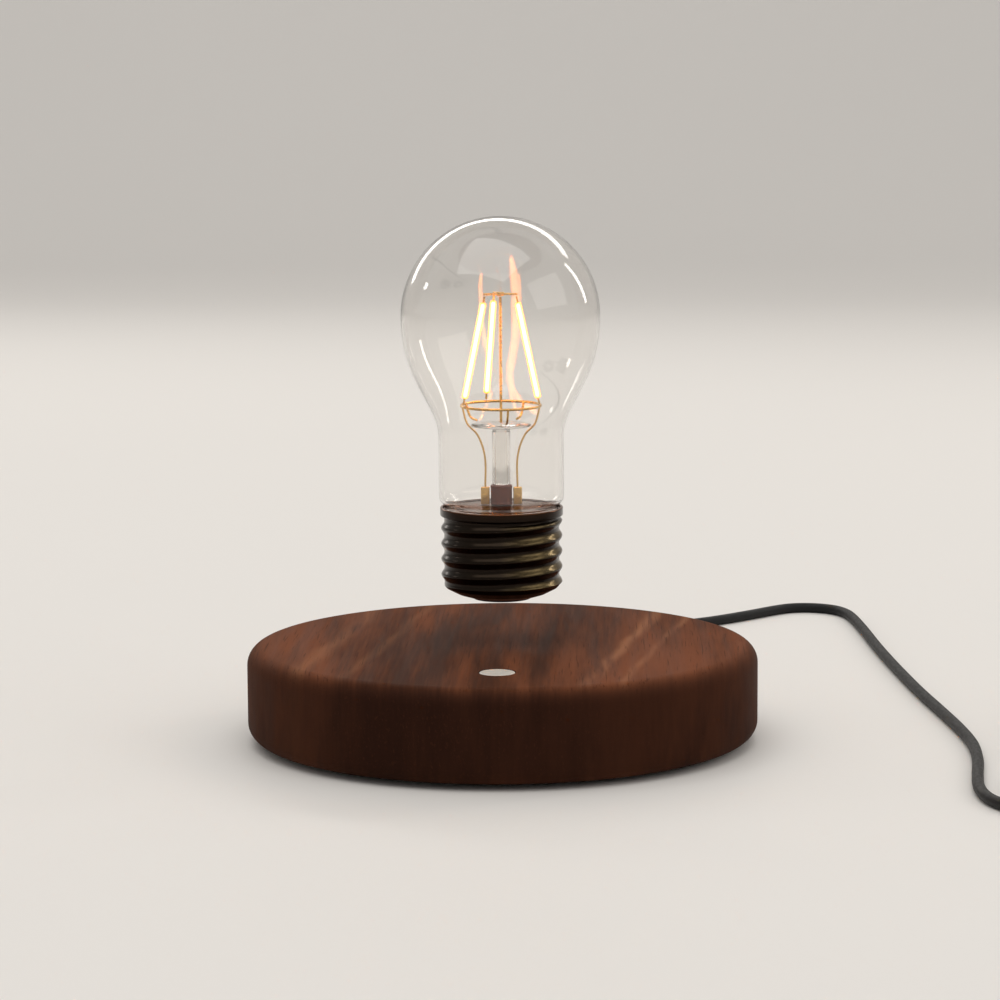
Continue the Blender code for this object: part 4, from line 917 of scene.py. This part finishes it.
class LAMP_OT_lead(LampOperator, bpy.types.Operator):
    """Lay the power lead from the plug, round the base and into its coil."""

    bl_idname = "lamp.lead"
    bl_label = "Power lead"

    def execute(self, context):
        sizes = self.sizes
        diameter = sizes.cord_diameter
        exit_point = np.array((0, high("plug_body", Y) + clearance, jack_height))
        corners = np.vstack((exit_point, exit_point + (0, 2 * diameter, 0), lead_route))
        stretch = smooth_line(corners, spacing=0.001)
        stretch[:, Z] = np.maximum(stretch[:, Z], diameter / 2)
        laid = np.linalg.norm(np.diff(stretch, axis=0), axis=1).sum()
        radius = (sizes.lead_length - laid - tail_length) / (2 * np.pi * coil_turns)
        coil = coil_line(radius, diameter)
        end = coil[-1]
        tail_end = np.array((end[X], end[Y] + tail_length, case_middle[Z]))
        tail = (end, end + (0, tail_length / 3, 0), tail_end - (0, diameter, 0), tail_end)
        tail = smooth_line(tail, spacing=0.001)
        inside = np.array((0, cord_overlap, 0))
        line = np.vstack((exit_point - inside, stretch, coil, tail[1:], tail_end + inside))
        line = even_points(line, spacing=0.0012)
        tube = swept(line, ring_outline(diameter / 2, steps=14))
        cord = make_piece(
            "power_cord", tube, [cord_finish(self.colours)], "lead",
            ["lead_stretch", "lead_coil"],
        )
        return {"FINISHED"}


class LAMP_OT_base(LampOperator, bpy.types.Operator):
    """Turn the walnut shell and cut its pad recess, socket hole and screw holes."""

    bl_idname = "lamp.base"
    bl_label = "Walnut base"

    def execute(self, context):
        sizes = self.sizes
        radius, bottom, top = sizes.base_radius, sizes.wood_low, sizes.wood_high
        cavity, ledge = radius - 0.0135, radius - 0.007
        step, ceiling, edge = bottom + 0.0023, top - 0.004, 0.0003
        outline = rounded((
            (0, top, 0), (radius, top, 0.0055), (radius, bottom, 0.0050), (ledge, bottom, edge),
            (ledge, step, 0), (cavity, step, edge), (cavity, ceiling, edge), (0, ceiling, 0),
        ), 10)
        inner, outer, back, seat, front = 0.0053, 0.0068, -0.0145, -0.0013, 0.002
        socket = (
            (0, back), (inner, back), (inner, seat), (outer, seat), (outer, front), (0, front),
        )
        tools = [
            turned(drum(sizes.pad_radius + clearance, -0.0019, 0.001), 72, (*pad_centre, top)),
            turned(drum(0.0018, -0.005, 0.0), 32, (*pad_centre, top)),
            on_jack(socket, 72, jack_face),
        ]
        for degrees in (45, 135, 225, 315):
            place = around((cavity + ledge) / 2, degrees, bottom)
            tools.append(turned(drum(0.0015, -0.001, 0.0088), 20, place))
        mesh = cut(mesh_of("walnut base", turned(outline, 288)), tools)
        finish = walnut_finish(self.colours)
        make_piece("walnut_base", mesh, [finish], "base", ["wood_base"], sharp=32)
        return {"FINISHED"}


class LAMP_OT_touch(LampOperator, bpy.types.Operator):
    """Set the metal touch pad into the wood."""

    bl_idname = "lamp.touch"
    bl_label = "Touch pad"

    def execute(self, context):
        radius, (bottom, top) = self.sizes.pad_radius, span("touch_pad", Z)
        dish = top - 0.00012
        outline = rounded((
            (0, dish, 0), (radius - 0.0009, dish, 0.0003), (radius - 0.0006, top, 0.0002),
            (radius, top, 0.00025), (radius, bottom, 0.0001), (0, bottom, 0),
        ))
        pad = turned(outline, 96, (*pad_centre, 0))
        make_piece(
            "touch_disc", pad, [touch_finish()], "base", ["touch_pad"], sharp=50)
        return {"FINISHED"}


class LAMP_OT_socket(LampOperator, bpy.types.Operator):
    """Make the power socket and its pin."""

    bl_idname = "lamp.socket"
    bl_label = "Power socket"

    def execute(self, context):
        back = low("dc_jack", Y) - jack_face
        bore, flange = 0.0032, 0.0065
        outline = rounded((
            (0, -0.0105, 0), (bore, -0.0105, 0), (bore, 0, 0.0004), (0.0041, 0, 0),
            (0.0041, -0.00025, 0), (0.0047, -0.00025, 0), (0.0047, 0, 0), (flange, 0, 0.0005),
            (flange, -0.001, 0.0001), (0.005, -0.001, 0), (0.005, back, 0.0003), (0, back, 0),
        ))
        socket = on_jack(outline, 80, jack_face)
        plastic = moulded_finish("socket plastic", tint(self.colours.black, 1.5), 0.36, 2400.0)
        make_piece("socket", socket, [plastic], "base", ["dc_jack"], sharp=30)

        pin = on_jack(drum(0.001, *span("jack_pin", Y), 0, 0.0006), 32)
        nickel = metal_finish("pin nickel", nickel_tone, 0.22)
        make_piece("socket_pin", pin, [nickel], "base", ["jack_pin"])
        return {"FINISHED"}


class LAMP_OT_underside(LampOperator, bpy.types.Operator):
    """Make the rubber feet and the cover's screws with their crossed slots."""

    bl_idname = "lamp.underside"
    bl_label = "Underside"

    def execute(self, context):
        rubber = moulded_finish("foot rubber", (0.022, 0.021, 0.020), 0.7, 1500.0, 0.00006)
        steel = metal_finish("screw steel", steel_tone, 0.3)
        for number in range(1, 5):
            name = f"rubber_foot_{number}"
            start, end, middle = corners_of(name)
            radius, top, neck, rim = (end[X] - start[X]) / 2, end[Z], 0.002, 0.0015
            outline = rounded((
                (0, 0, 0), (radius - 0.0004, 0, 0.0003), (radius, 0.0012, 0.0002), (radius, rim, 0),
                (neck, rim, 0), (neck, top, 0.0002), (0, top, 0),
            ))
            foot = turned(outline, 64, (*middle[:2], start[Z]))
            make_piece(f"foot_{number}", foot, [rubber], "base", [name])

            name = f"cover_screw_{number}"
            start, end, middle = corners_of(name)
            radius, bottom, top, shank = (end[X] - start[X]) / 2, start[Z], end[Z], 0.0012
            head = bottom + 0.0011
            outline = rounded((
                (0, bottom, 0), (radius, bottom, 0.0004), (radius, head, 0), (shank, head, 0),
                (shank, top - 0.001, 0), (0, top, 0),
            ))
            place = np.array((*middle[:2], bottom))
            long, wide, deep = 0.0016, 0.00035, 0.0007
            slots = [
                block(place - reach, place + reach, Z, edge=0.00005)
                for reach in ((long, wide, deep), (wide, long, deep))
            ]
            screw = cut(mesh_of(name, turned(outline, 48, (*middle[:2], 0))), slots)
            make_piece(f"screw_{number}", screw, [steel], "base", [name])
        return {"FINISHED"}


class LAMP_OT_cap(LampOperator, bpy.types.Operator):
    """Roll the screw cap: a thin cup whose wall follows a helical thread."""

    bl_idname = "lamp.cap"
    bl_label = "Screw cap"

    def execute(self, context):
        bottom, radius = self.sizes.cap_low, high("screw_shell", X)
        top = high("screw_shell", Z) - bottom
        thread_top, step = top - 0.003, top - 0.0019
        rise = np.linspace(thread_top, thread_low, 180)
        wall = np.stack((np.full(len(rise), thread_root), rise), axis=1)
        collar = rounded((
            (radius - cap_wall, top, 0.0002), (radius, top, 0.00035),
            (radius, thread_top + 0.0005, 0.0005),
            (thread_root + 0.0001, thread_top + 0.0001, 0.0003), (thread_root, thread_top, 0),
        ), 6)
        inner, bowl, mouth = 0.0166, 0.0135, 0.0092
        foot = rounded((
            (thread_root, thread_low, 0), (thread_root - 0.0006, thread_low - 0.0006, 0.0008),
            (bowl, 0.0022, 0.0020), (mouth, 0.0009, 0.0003), (mouth, 0.0017, 0.0003),
            (bowl, 0.0030, 0), (0.0155, thread_low, 0.0003), (inner, thread_low + 0.0012, 0),
        ), 6)
        seat = ((inner, step), (radius - cap_wall, step))
        outline = np.vstack((collar[:-1], wall, foot[1:], seat))
        grid = turned(outline, 240)

        def thread(points, lead=0.0):
            """Height of the ridge from 0 to 1, faded at both ends of the thread.

            It is ((1 + cos(2 pi (z - phase) / pitch - angle - lead)) / 2) ^ sharpness.
            """
            height, angle = points[..., Z], np.arctan2(points[..., Y], points[..., X])
            phase = 2 * np.pi * (height - thread_phase) / thread_pitch - angle - lead
            ridge = ((1 + np.cos(phase)) / 2) ** thread_sharpness
            fade = smooth_step((height - thread_low) / thread_fade)
            return ridge * (fade * smooth_step((thread_top - height) / thread_fade))

        on_wall = np.zeros(len(outline), bool)
        on_wall[len(collar) - 1:len(collar) - 1 + len(wall)] = True
        lift = (thread_crest - thread_root) * thread(grid) * on_wall[:, None]
        grid[..., :2] *= (1 + lift / thread_root)[..., None]
        mesh = mesh_of("screw cap", [(grid + (0, 0, bottom), True, 0)])
        points = np.empty(len(mesh.vertices) * 3)
        mesh.vertices.foreach_get("co", points)
        points = points.reshape(-1, 3) - (0, 0, bottom)
        outside = np.hypot(points[:, X], points[:, Y]) > thread_root - 0.0001
        # The first attribute marks the thread's upper flanks for the painted highlight.
        for name, values in (
            ("worn", thread(points, highlight_lead) * outside),
            ("rim", smooth_step((points[:, Z] - top + 0.0004) / 0.0003)),
        ):
            mesh.attributes.new(name, "FLOAT", "POINT").data.foreach_set("value", values)
        finish = cap_finish(self.colours)
        make_piece("screw_cap", mesh, [finish], "bulb", ["screw_shell"], sharp=60)
        return {"FINISHED"}


class LAMP_OT_contact(LampOperator, bpy.types.Operator):
    """Make the contact button and the glazed ring round it."""

    bl_idname = "lamp.contact"
    bl_label = "Contact"

    def execute(self, context):
        place = (0, 0, self.sizes.cap_low)
        inner, outer = 0.0056, 0.0089
        ring = rounded((
            (inner, 0.0005, 0.0002), (outer, 0.0005, 0.0004), (outer, 0.0019, 0),
            (inner, 0.0019, 0),
        ))
        glaze = moulded_finish("contact glass", (0.02, 0.016, 0.018), 0.14, 500.0, 0.00004)
        surfaces = [(turned(ring, 96, place), True, 0)]
        make_piece(
            "contact_ring", surfaces, [glaze], "bulb", ["contact_insulator"])
        button = rounded((
            (0, 0, 0), (0.0036, 0.00008, 0.001), (0.0053, 0.0008, 0.0004), (0.0053, 0.0017, 0),
            (0, 0.0017, 0),
        ))
        button = turned(button, 72, place)
        tin = metal_finish("contact tin", (0.42, 0.40, 0.37), 0.32, 600.0, 0.5, depth=0.00008)
        make_piece("contact_button", button, [tin], "bulb", ["bottom_contact"])
        return {"FINISHED"}


class LAMP_OT_plate(LampOperator, bpy.types.Operator):
    """Make the plate that closes the cap, its centre post and its two terminals."""

    bl_idname = "lamp.plate"
    bl_label = "Cap plate"

    def execute(self, context):
        bottom, crown = span("cap_plate", Z)
        radius, step = high("cap_plate", X), 0.0136
        top = crown - 0.0005
        groove = top - 0.00015
        outline = rounded((
            (0, crown, 0), (step, crown, 0.0003), (step, top, 0.00015), (0.0146, top, 0),
            (0.0148, groove, 0), (0.0152, groove, 0), (0.0154, top, 0), (radius, top, 0.0001),
            (radius, bottom, 0), (0, bottom, 0),
        ))
        finish = plate_finish(self.colours)
        make_piece("plate", turned(outline, 160), [finish], "bulb", ["cap_plate"])

        bottom, top = span("centre_post", Z)
        waist, radius = 0.0032, 0.0033
        outline = rounded((
            (0, bottom, 0), (radius, bottom, 0.0002), (radius, bottom + 0.0009, 0.0001),
            (waist, bottom + 0.0011, 0.0001), (waist, top - 0.0008, 0.0001),
            (radius, top - 0.0007, 0.0001), (radius, top, 0.0003), (0, top, 0),
        ))
        brown = moulded_finish("post plastic", (0.110, 0.018, 0.004), 0.55, 1500.0)
        make_piece("post", turned(outline, 64), [brown], "bulb", ["centre_post"])

        brass = metal_finish("terminal brass", self.colours.brass, 0.34, wear=0.1, depth=0.00001)
        flare_low, flare_high = span("stem_flare", Z)
        wire_end = high("lower_ring", Z) - ring_wire - 0.0007
        inner, outer, half_depth = 0.0036, 0.0062, 0.0009
        lug_top = bottom + 0.0056
        for number, sign in ((1, 1), (2, -1)):
            near, far = sorted((sign * inner, sign * outer))
            lug = block((near, -half_depth, bottom), (far, half_depth, lug_top), Z, edge=0.0003)
            middle = sign * (inner + outer) / 2
            wire = swept(smooth_line((
                (middle, 0, lug_top - 0.0014), (middle, 0, (lug_top + flare_low) / 2),
                (sign * 0.00695, 0, flare_low - 0.0019), (sign * 0.0102, 0, flare_high),
                (sign * 0.0116, 0, wire_end),
            ), spacing=0.0005), ring_outline(0.0003), along_y)
            screw = drum(0.0008, -0.00115, -0.0008, 0.0002)
            screw = turned(screw, 24, (middle, 0, bottom + 0.0028), along_y)
            surfaces = [(grid, False, 0) for grid in (lug, wire, screw)]
            make_piece(
                f"terminal_{number}", surfaces, [brass], "bulb",
                [f"wire_terminal_{number}"])
        return {"FINISHED"}


class LAMP_OT_glass(LampOperator, bpy.types.Operator):
    """Blow the glass: a round crown, a long shoulder, a straight neck and a drawn-in foot."""

    bl_idname = "lamp.glass"
    bl_label = "Glass"

    def execute(self, context):
        radius, top, foot = self.sizes.glass_radius, self.sizes.glass_top, low("glass_envelope", Z)
        neck, neck_top, foot_radius, wall = 0.0189, self.sizes.cap_low + 0.0494, 0.0173, 0.0007
        middle = top - radius
        angle = np.linspace(np.pi / 2, 0, 48)
        crown = np.stack((radius * np.cos(angle), middle + radius * np.sin(angle)), axis=1)
        crown[0, 0] = 0
        share = np.linspace(0, 1, 60)[1:, None]
        shoulder = bezier(
            (radius, middle), (radius, middle - 0.0205), (neck, neck_top + 0.011), (neck, neck_top),
            share)
        foot_top = foot + 0.0035
        handle = foot_top - 0.0021
        drawn = bezier(
            (neck, foot_top), (neck, handle), (foot_radius, handle), (foot_radius, foot), share)
        outer = np.vstack((crown, shoulder, ((neck, foot_top),), drawn))
        along = np.gradient(outer, axis=0)
        along /= np.linalg.norm(along, axis=1, keepdims=True)
        inner = outer + wall * np.stack((along[:, 1], -along[:, 0]), axis=1)
        inner[0] = (0, top - wall)
        inner[-1] = (foot_radius - wall, foot)
        grid = turned(np.vstack((outer, inner[::-1])), 192)
        glass = glass_finish("clear glass", (1.0, 0.995, 0.985), 0.0006, 150.0)
        make_piece("glass", grid, [glass], "bulb", ["glass_envelope"], sharp=70)
        return {"FINISHED"}


class LAMP_OT_stem(LampOperator, bpy.types.Operator):
    """Draw the glass stem and its flare."""

    bl_idname = "lamp.stem"
    bl_label = "Glass stem"

    def execute(self, context):
        glass = glass_finish("stem glass", (0.98, 0.965, 0.945), 0.0004, 35.0)
        bottom, top = span("stem_tube", Z)
        bore, radius, edge = 0.0018, 0.00275, 0.0002
        tube = rounded((
            (bore, bottom, edge), (radius, bottom, edge), (radius, top, edge), (bore, top, edge),
        ))
        surfaces = [(turned(tube, 64), True, 0)]
        make_piece("stem", surfaces, [glass], "bulb", ["stem_tube"])
        bottom, top = span("stem_flare", Z)
        flare = rounded((
            (0, top, 0), (0.0052, top, 0.002), (0.0062, top - 0.0003, 0.001),
            (0.0090, top - 0.0001, 0.00025), (0.0090, top - 0.0007, 0.00025),
            (0.0060, top - 0.0012, 0.002), (radius, bottom, 0), (0, bottom, 0),
        ), 6)
        make_piece(
            "flare", turned(flare, 96), [glass], "bulb", ["stem_flare"], sharp=60)
        return {"FINISHED"}


class LAMP_OT_mount(LampOperator, bpy.types.Operator):
    """Bend the wire ring and its legs, and set up the rod and the hub with its arms."""

    bl_idname = "lamp.mount"
    bl_label = "Wire mount"

    def execute(self, context):
        brass = metal_finish("wire brass", self.colours.brass, 0.26, 1400.0)
        ring_height = high("lower_ring", Z) - ring_wire
        flare_top = high("stem_flare", Z)
        circle = np.insert(ring_outline(ring_radius, 96), 2, ring_height, axis=1)
        surfaces = [(swept(circle, ring_outline(ring_wire), closed=True), True, 0)]
        for degrees in leg_angles:
            foot = around(0.0081, degrees, flare_top + clearance + thin_wire)
            bend = around(0.0104, degrees, flare_top + 0.0016)
            joint = around(ring_radius, degrees, ring_height)
            route = smooth_line((foot, bend, joint), spacing=0.0004)
            leg = swept(route, ring_outline(thin_wire), around(1, degrees + 90, 0))
            surfaces.append((leg, False, 0))
        make_piece("wire_ring", surfaces, [brass], "bulb", ["lower_ring"])

        rod = turned(drum(0.0004, *span("support_rod", Z), 0.0001, 0.0001), 24)
        make_piece("rod", rod, [brass], "bulb", ["support_rod"])

        hub = drum(0.0012, *span("filament_hub", Z), 0.0003, 0.0003)
        hub_height = sum(span("filament_hub", Z)) / 2
        surfaces = [(turned(hub, 40), False, 0)]
        for degrees in led_angles:
            tip = around(arm_reach + thin_wire, degrees, hub_height)
            route = np.linspace(around(0.0006, degrees, hub_height), tip, 8)
            surfaces.append((swept(route, ring_outline(thin_wire)), False, 0))
        make_piece("hub", surfaces, [brass], "bulb", ["filament_hub"])
        return {"FINISHED"}


class LAMP_OT_bars(LampOperator, bpy.types.Operator):
    """Make the lit LED bars: a bright strip in a rounded skin of amber gel, with thin tabs."""

    bl_idname = "lamp.bars"
    bl_label = "LED bars"

    def execute(self, context):
        core = glow_finish("lit strip", self.colours.glow, 150.0, 0.2)
        skin = glow_finish("lit phosphor", self.colours.gel, 1.5, 0.25, Alpha=0.80)
        brass = metal_finish("tab brass", self.colours.brass, 0.26, 1400.0)
        low_height = high("lower_ring", Z) + clearance
        high_height = sum(span("filament_hub", Z)) / 2 - thin_wire - clearance
        for number, degrees in enumerate(led_angles, 1):
            foot = around(ring_radius, degrees, low_height)
            along = around(arm_reach, degrees, high_height) - foot
            length = np.linalg.norm(along)
            bar, strip = (drum(
                bar_radius - inset, bar_end + inset, length - bar_end - inset, 0.0005, 0.0005, 6,
            ) for inset in (0, 0.00034))
            lower, upper = (
                drum(0.0003, start, start + tab_length, 0.0001, 0.0001)
                for start in (0, length - tab_length)
            )
            lines = ((bar, 40, 0), (strip, 32, 2), (lower, 16, 1), (upper, 16, 1))
            surfaces = [
                (turned(outline, steps, foot, along), False, finish)
                for outline, steps, finish in lines
            ]
            make_piece(
                f"led_bar_{number}", surfaces, [skin, brass, core], "bulb",
                [f"led_filament_{number}"])
        return {"FINISHED"}


class LAMP_OT_inside(LampOperator, bpy.types.Operator):
    """Give the parts inside the base and the cap their finishes."""

    bl_idname = "lamp.inside"
    bl_label = "Inner parts"

    def execute(self, context):
        laminate = board_finish()
        ferrite = (0.5, 900.0, 0.00008)
        finishes = {
            "bottom_cover": moulded_finish(
                "cover plastic", (0.020, 0.020, 0.021), 0.5, 1600.0, 0.00006),
            "module_screw_": metal_finish("inner screw steel", steel_tone, 0.3),
            "control_board": laminate,
            "receiver_board": laminate,
            "driver_chip": moulded_finish("chip black", (0.02, 0.02, 0.022), 0.4),
            "hall_sensor_": moulded_finish("sensor black", (0.022, 0.022, 0.024), 0.4),
            "main_capacitor": metal_finish("capacitor can", (0.45, 0.46, 0.48), 0.3),
            "coil_carrier": moulded_finish("carrier nylon", nylon_tone, 0.5),
            "coil_bobbin": moulded_finish("bobbin nylon", nylon_tone, 0.5),
            "magnet_ring": moulded_finish("ferrite", ferrite_tone, *ferrite),
            "transmitter_shield": moulded_finish("shield ferrite", ferrite_tone, *ferrite),
            "levitation_coil_": winding_finish("coil copper"),
            "transmitter_coil": winding_finish("flat coil copper"),
            "receiver_coil": winding_finish("receiver copper"),
            "float_magnet": metal_finish("magnet nickel", (0.66, 0.64, 0.61), 0.2),
            "touch_post": metal_finish("post brass", self.colours.brass, 0.3),
            "jack_nut": metal_finish("nut nickel", nickel_tone, 0.25),
        }
        for name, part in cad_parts.items():
            for start, finish in finishes.items():
                if name == start or (start.endswith("_") and name.startswith(start)):
                    for place in part.material_slots:
                        place.material = finish
        return {"FINISHED"}


class LAMP_OT_stage(LampOperator, bpy.types.Operator):
    """Set up the pale floor and backdrop, the soft lamps and the world."""

    bl_idname = "lamp.stage"
    bl_label = "Studio"

    def execute(self, context):
        floor = tuple(self.colours.floor)
        front, back, half_width, bend, top = -8.0, 1.6, 9, 1.2, 3.5
        angle = np.linspace(0, np.pi / 2, 24)
        profile = np.concatenate((
            np.stack((np.linspace(front, back, 24), np.zeros(24)), axis=1),
            np.stack((back + bend * np.sin(angle), bend - bend * np.cos(angle)), axis=1)[1:],
            np.array(((back + bend, top),)),
        ))
        across = np.linspace(-half_width, half_width, 9)
        grid = np.empty((len(profile), len(across), 3))
        grid[..., X], grid[..., Y], grid[..., Z] = across[None], profile[:, :1], profile[:, 1:]
        index = np.arange(grid.shape[0] * grid.shape[1]).reshape(grid.shape[:2])
        faces = grid_faces(index[:-1], index[1:])[:, :-1].reshape(-1, 4)
        mesh = bpy.data.meshes.new("floor")
        mesh.from_pydata(grid.reshape(-1, 3).tolist(), [], faces.tolist())
        mesh.shade_smooth()
        paint = Finish("floor", Roughness=0.6, Specular_IOR_Level=0.2)
        clouds = paint.noise(paint.at(), 3.0, 3.0)
        mesh.materials.append(paint.join(Base_Color=paint.blend(clouds, tint(floor, 0.985), floor)))
        add_object("floor", mesh)

        lamps = (
            ("overhead", (-0.3, -0.5, 2.4), (2.6, 2.2), 25.0, (1.0, 0.985, 0.96), 0.0),
            ("back strip", (-0.04, 1.35, 0.83), (2.6, 0.19), 5.8, (1.0, 0.97, 0.93), -17.0),
            ("right strip", (1.20, 0.72, 0.62), (0.08, 0.75), 1.9, (1.0, 0.96, 0.91), 0.0),
            ("right window", (1.35, -0.60, 0.85), (1.3, 0.9), 3.6, (1.0, 0.97, 0.93), 0.0),
            ("left", (-1.30, 0.38, 0.62), (0.12, 0.12), 0.35, (1.0, 0.98, 0.95), 0.0),
        )
        aim = Vector((0, 0, 0.10))
        for name, place, (width, height), power, colour, roll in lamps:
            data = bpy.data.lights.new(name, "AREA")
            data.shape, data.size, data.size_y = "RECTANGLE", width, height
            data.energy, data.color = power, colour
            look = (aim - Vector(place)).to_track_quat("-Z", "Y").to_matrix().to_4x4()
            look = Matrix.Translation(place) @ look @ Matrix.Rotation(math.radians(roll), 4, "Z")
            add_object(name, data).matrix_world = look

        world = bpy.data.worlds.new("studio")
        world.use_nodes = True
        background = world.node_tree.nodes["Background"].inputs
        background["Color"].default_value = (1.0, 0.985, 0.965, 1)
        background["Strength"].default_value = 0.50
        context.scene.world = world
        context.scene.view_settings.view_transform = "Standard"
        return {"FINISHED"}


operators = (
    LAMP_OT_camera, LAMP_OT_plug, LAMP_OT_tie, LAMP_OT_adapter, LAMP_OT_lead, LAMP_OT_base,
    LAMP_OT_touch, LAMP_OT_socket, LAMP_OT_underside, LAMP_OT_cap, LAMP_OT_contact,
    LAMP_OT_plate, LAMP_OT_glass, LAMP_OT_stem, LAMP_OT_mount, LAMP_OT_bars, LAMP_OT_inside,
    LAMP_OT_stage,
)


class LAMP_PT_pieces(bpy.types.Panel):
    """Lists the lamp's sizes, colours and pieces."""

    bl_idname = "LAMP_PT_pieces"
    bl_label = "Levitating Lamp"
    bl_space_type = "VIEW_3D"
    bl_region_type = "UI"
    bl_category = "Lamp"

    def draw(self, context):
        layout = self.layout
        for group in (context.scene.lamp_sizes, context.scene.lamp_colours):
            box = layout.box()
            for name in group.__annotations__:
                box.prop(group, name)
        for operator in operators:
            layout.operator(operator.bl_idname)


classes = (LampSizes, LampColours, *operators, LAMP_PT_pieces)


def register():
    for kind in classes:
        bpy.utils.register_class(kind)
    bpy.types.Scene.lamp_sizes = bpy.props.PointerProperty(type=LampSizes)
    bpy.types.Scene.lamp_colours = bpy.props.PointerProperty(type=LampColours)


def unregister():
    del bpy.types.Scene.lamp_colours
    del bpy.types.Scene.lamp_sizes
    for kind in reversed(classes):
        bpy.utils.unregister_class(kind)


def main():
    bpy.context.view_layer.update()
    register()
    for operator in operators:
        group, name = operator.bl_idname.split(".")
        getattr(getattr(bpy.ops, group), name)()


if __name__ == "__main__":
    main()
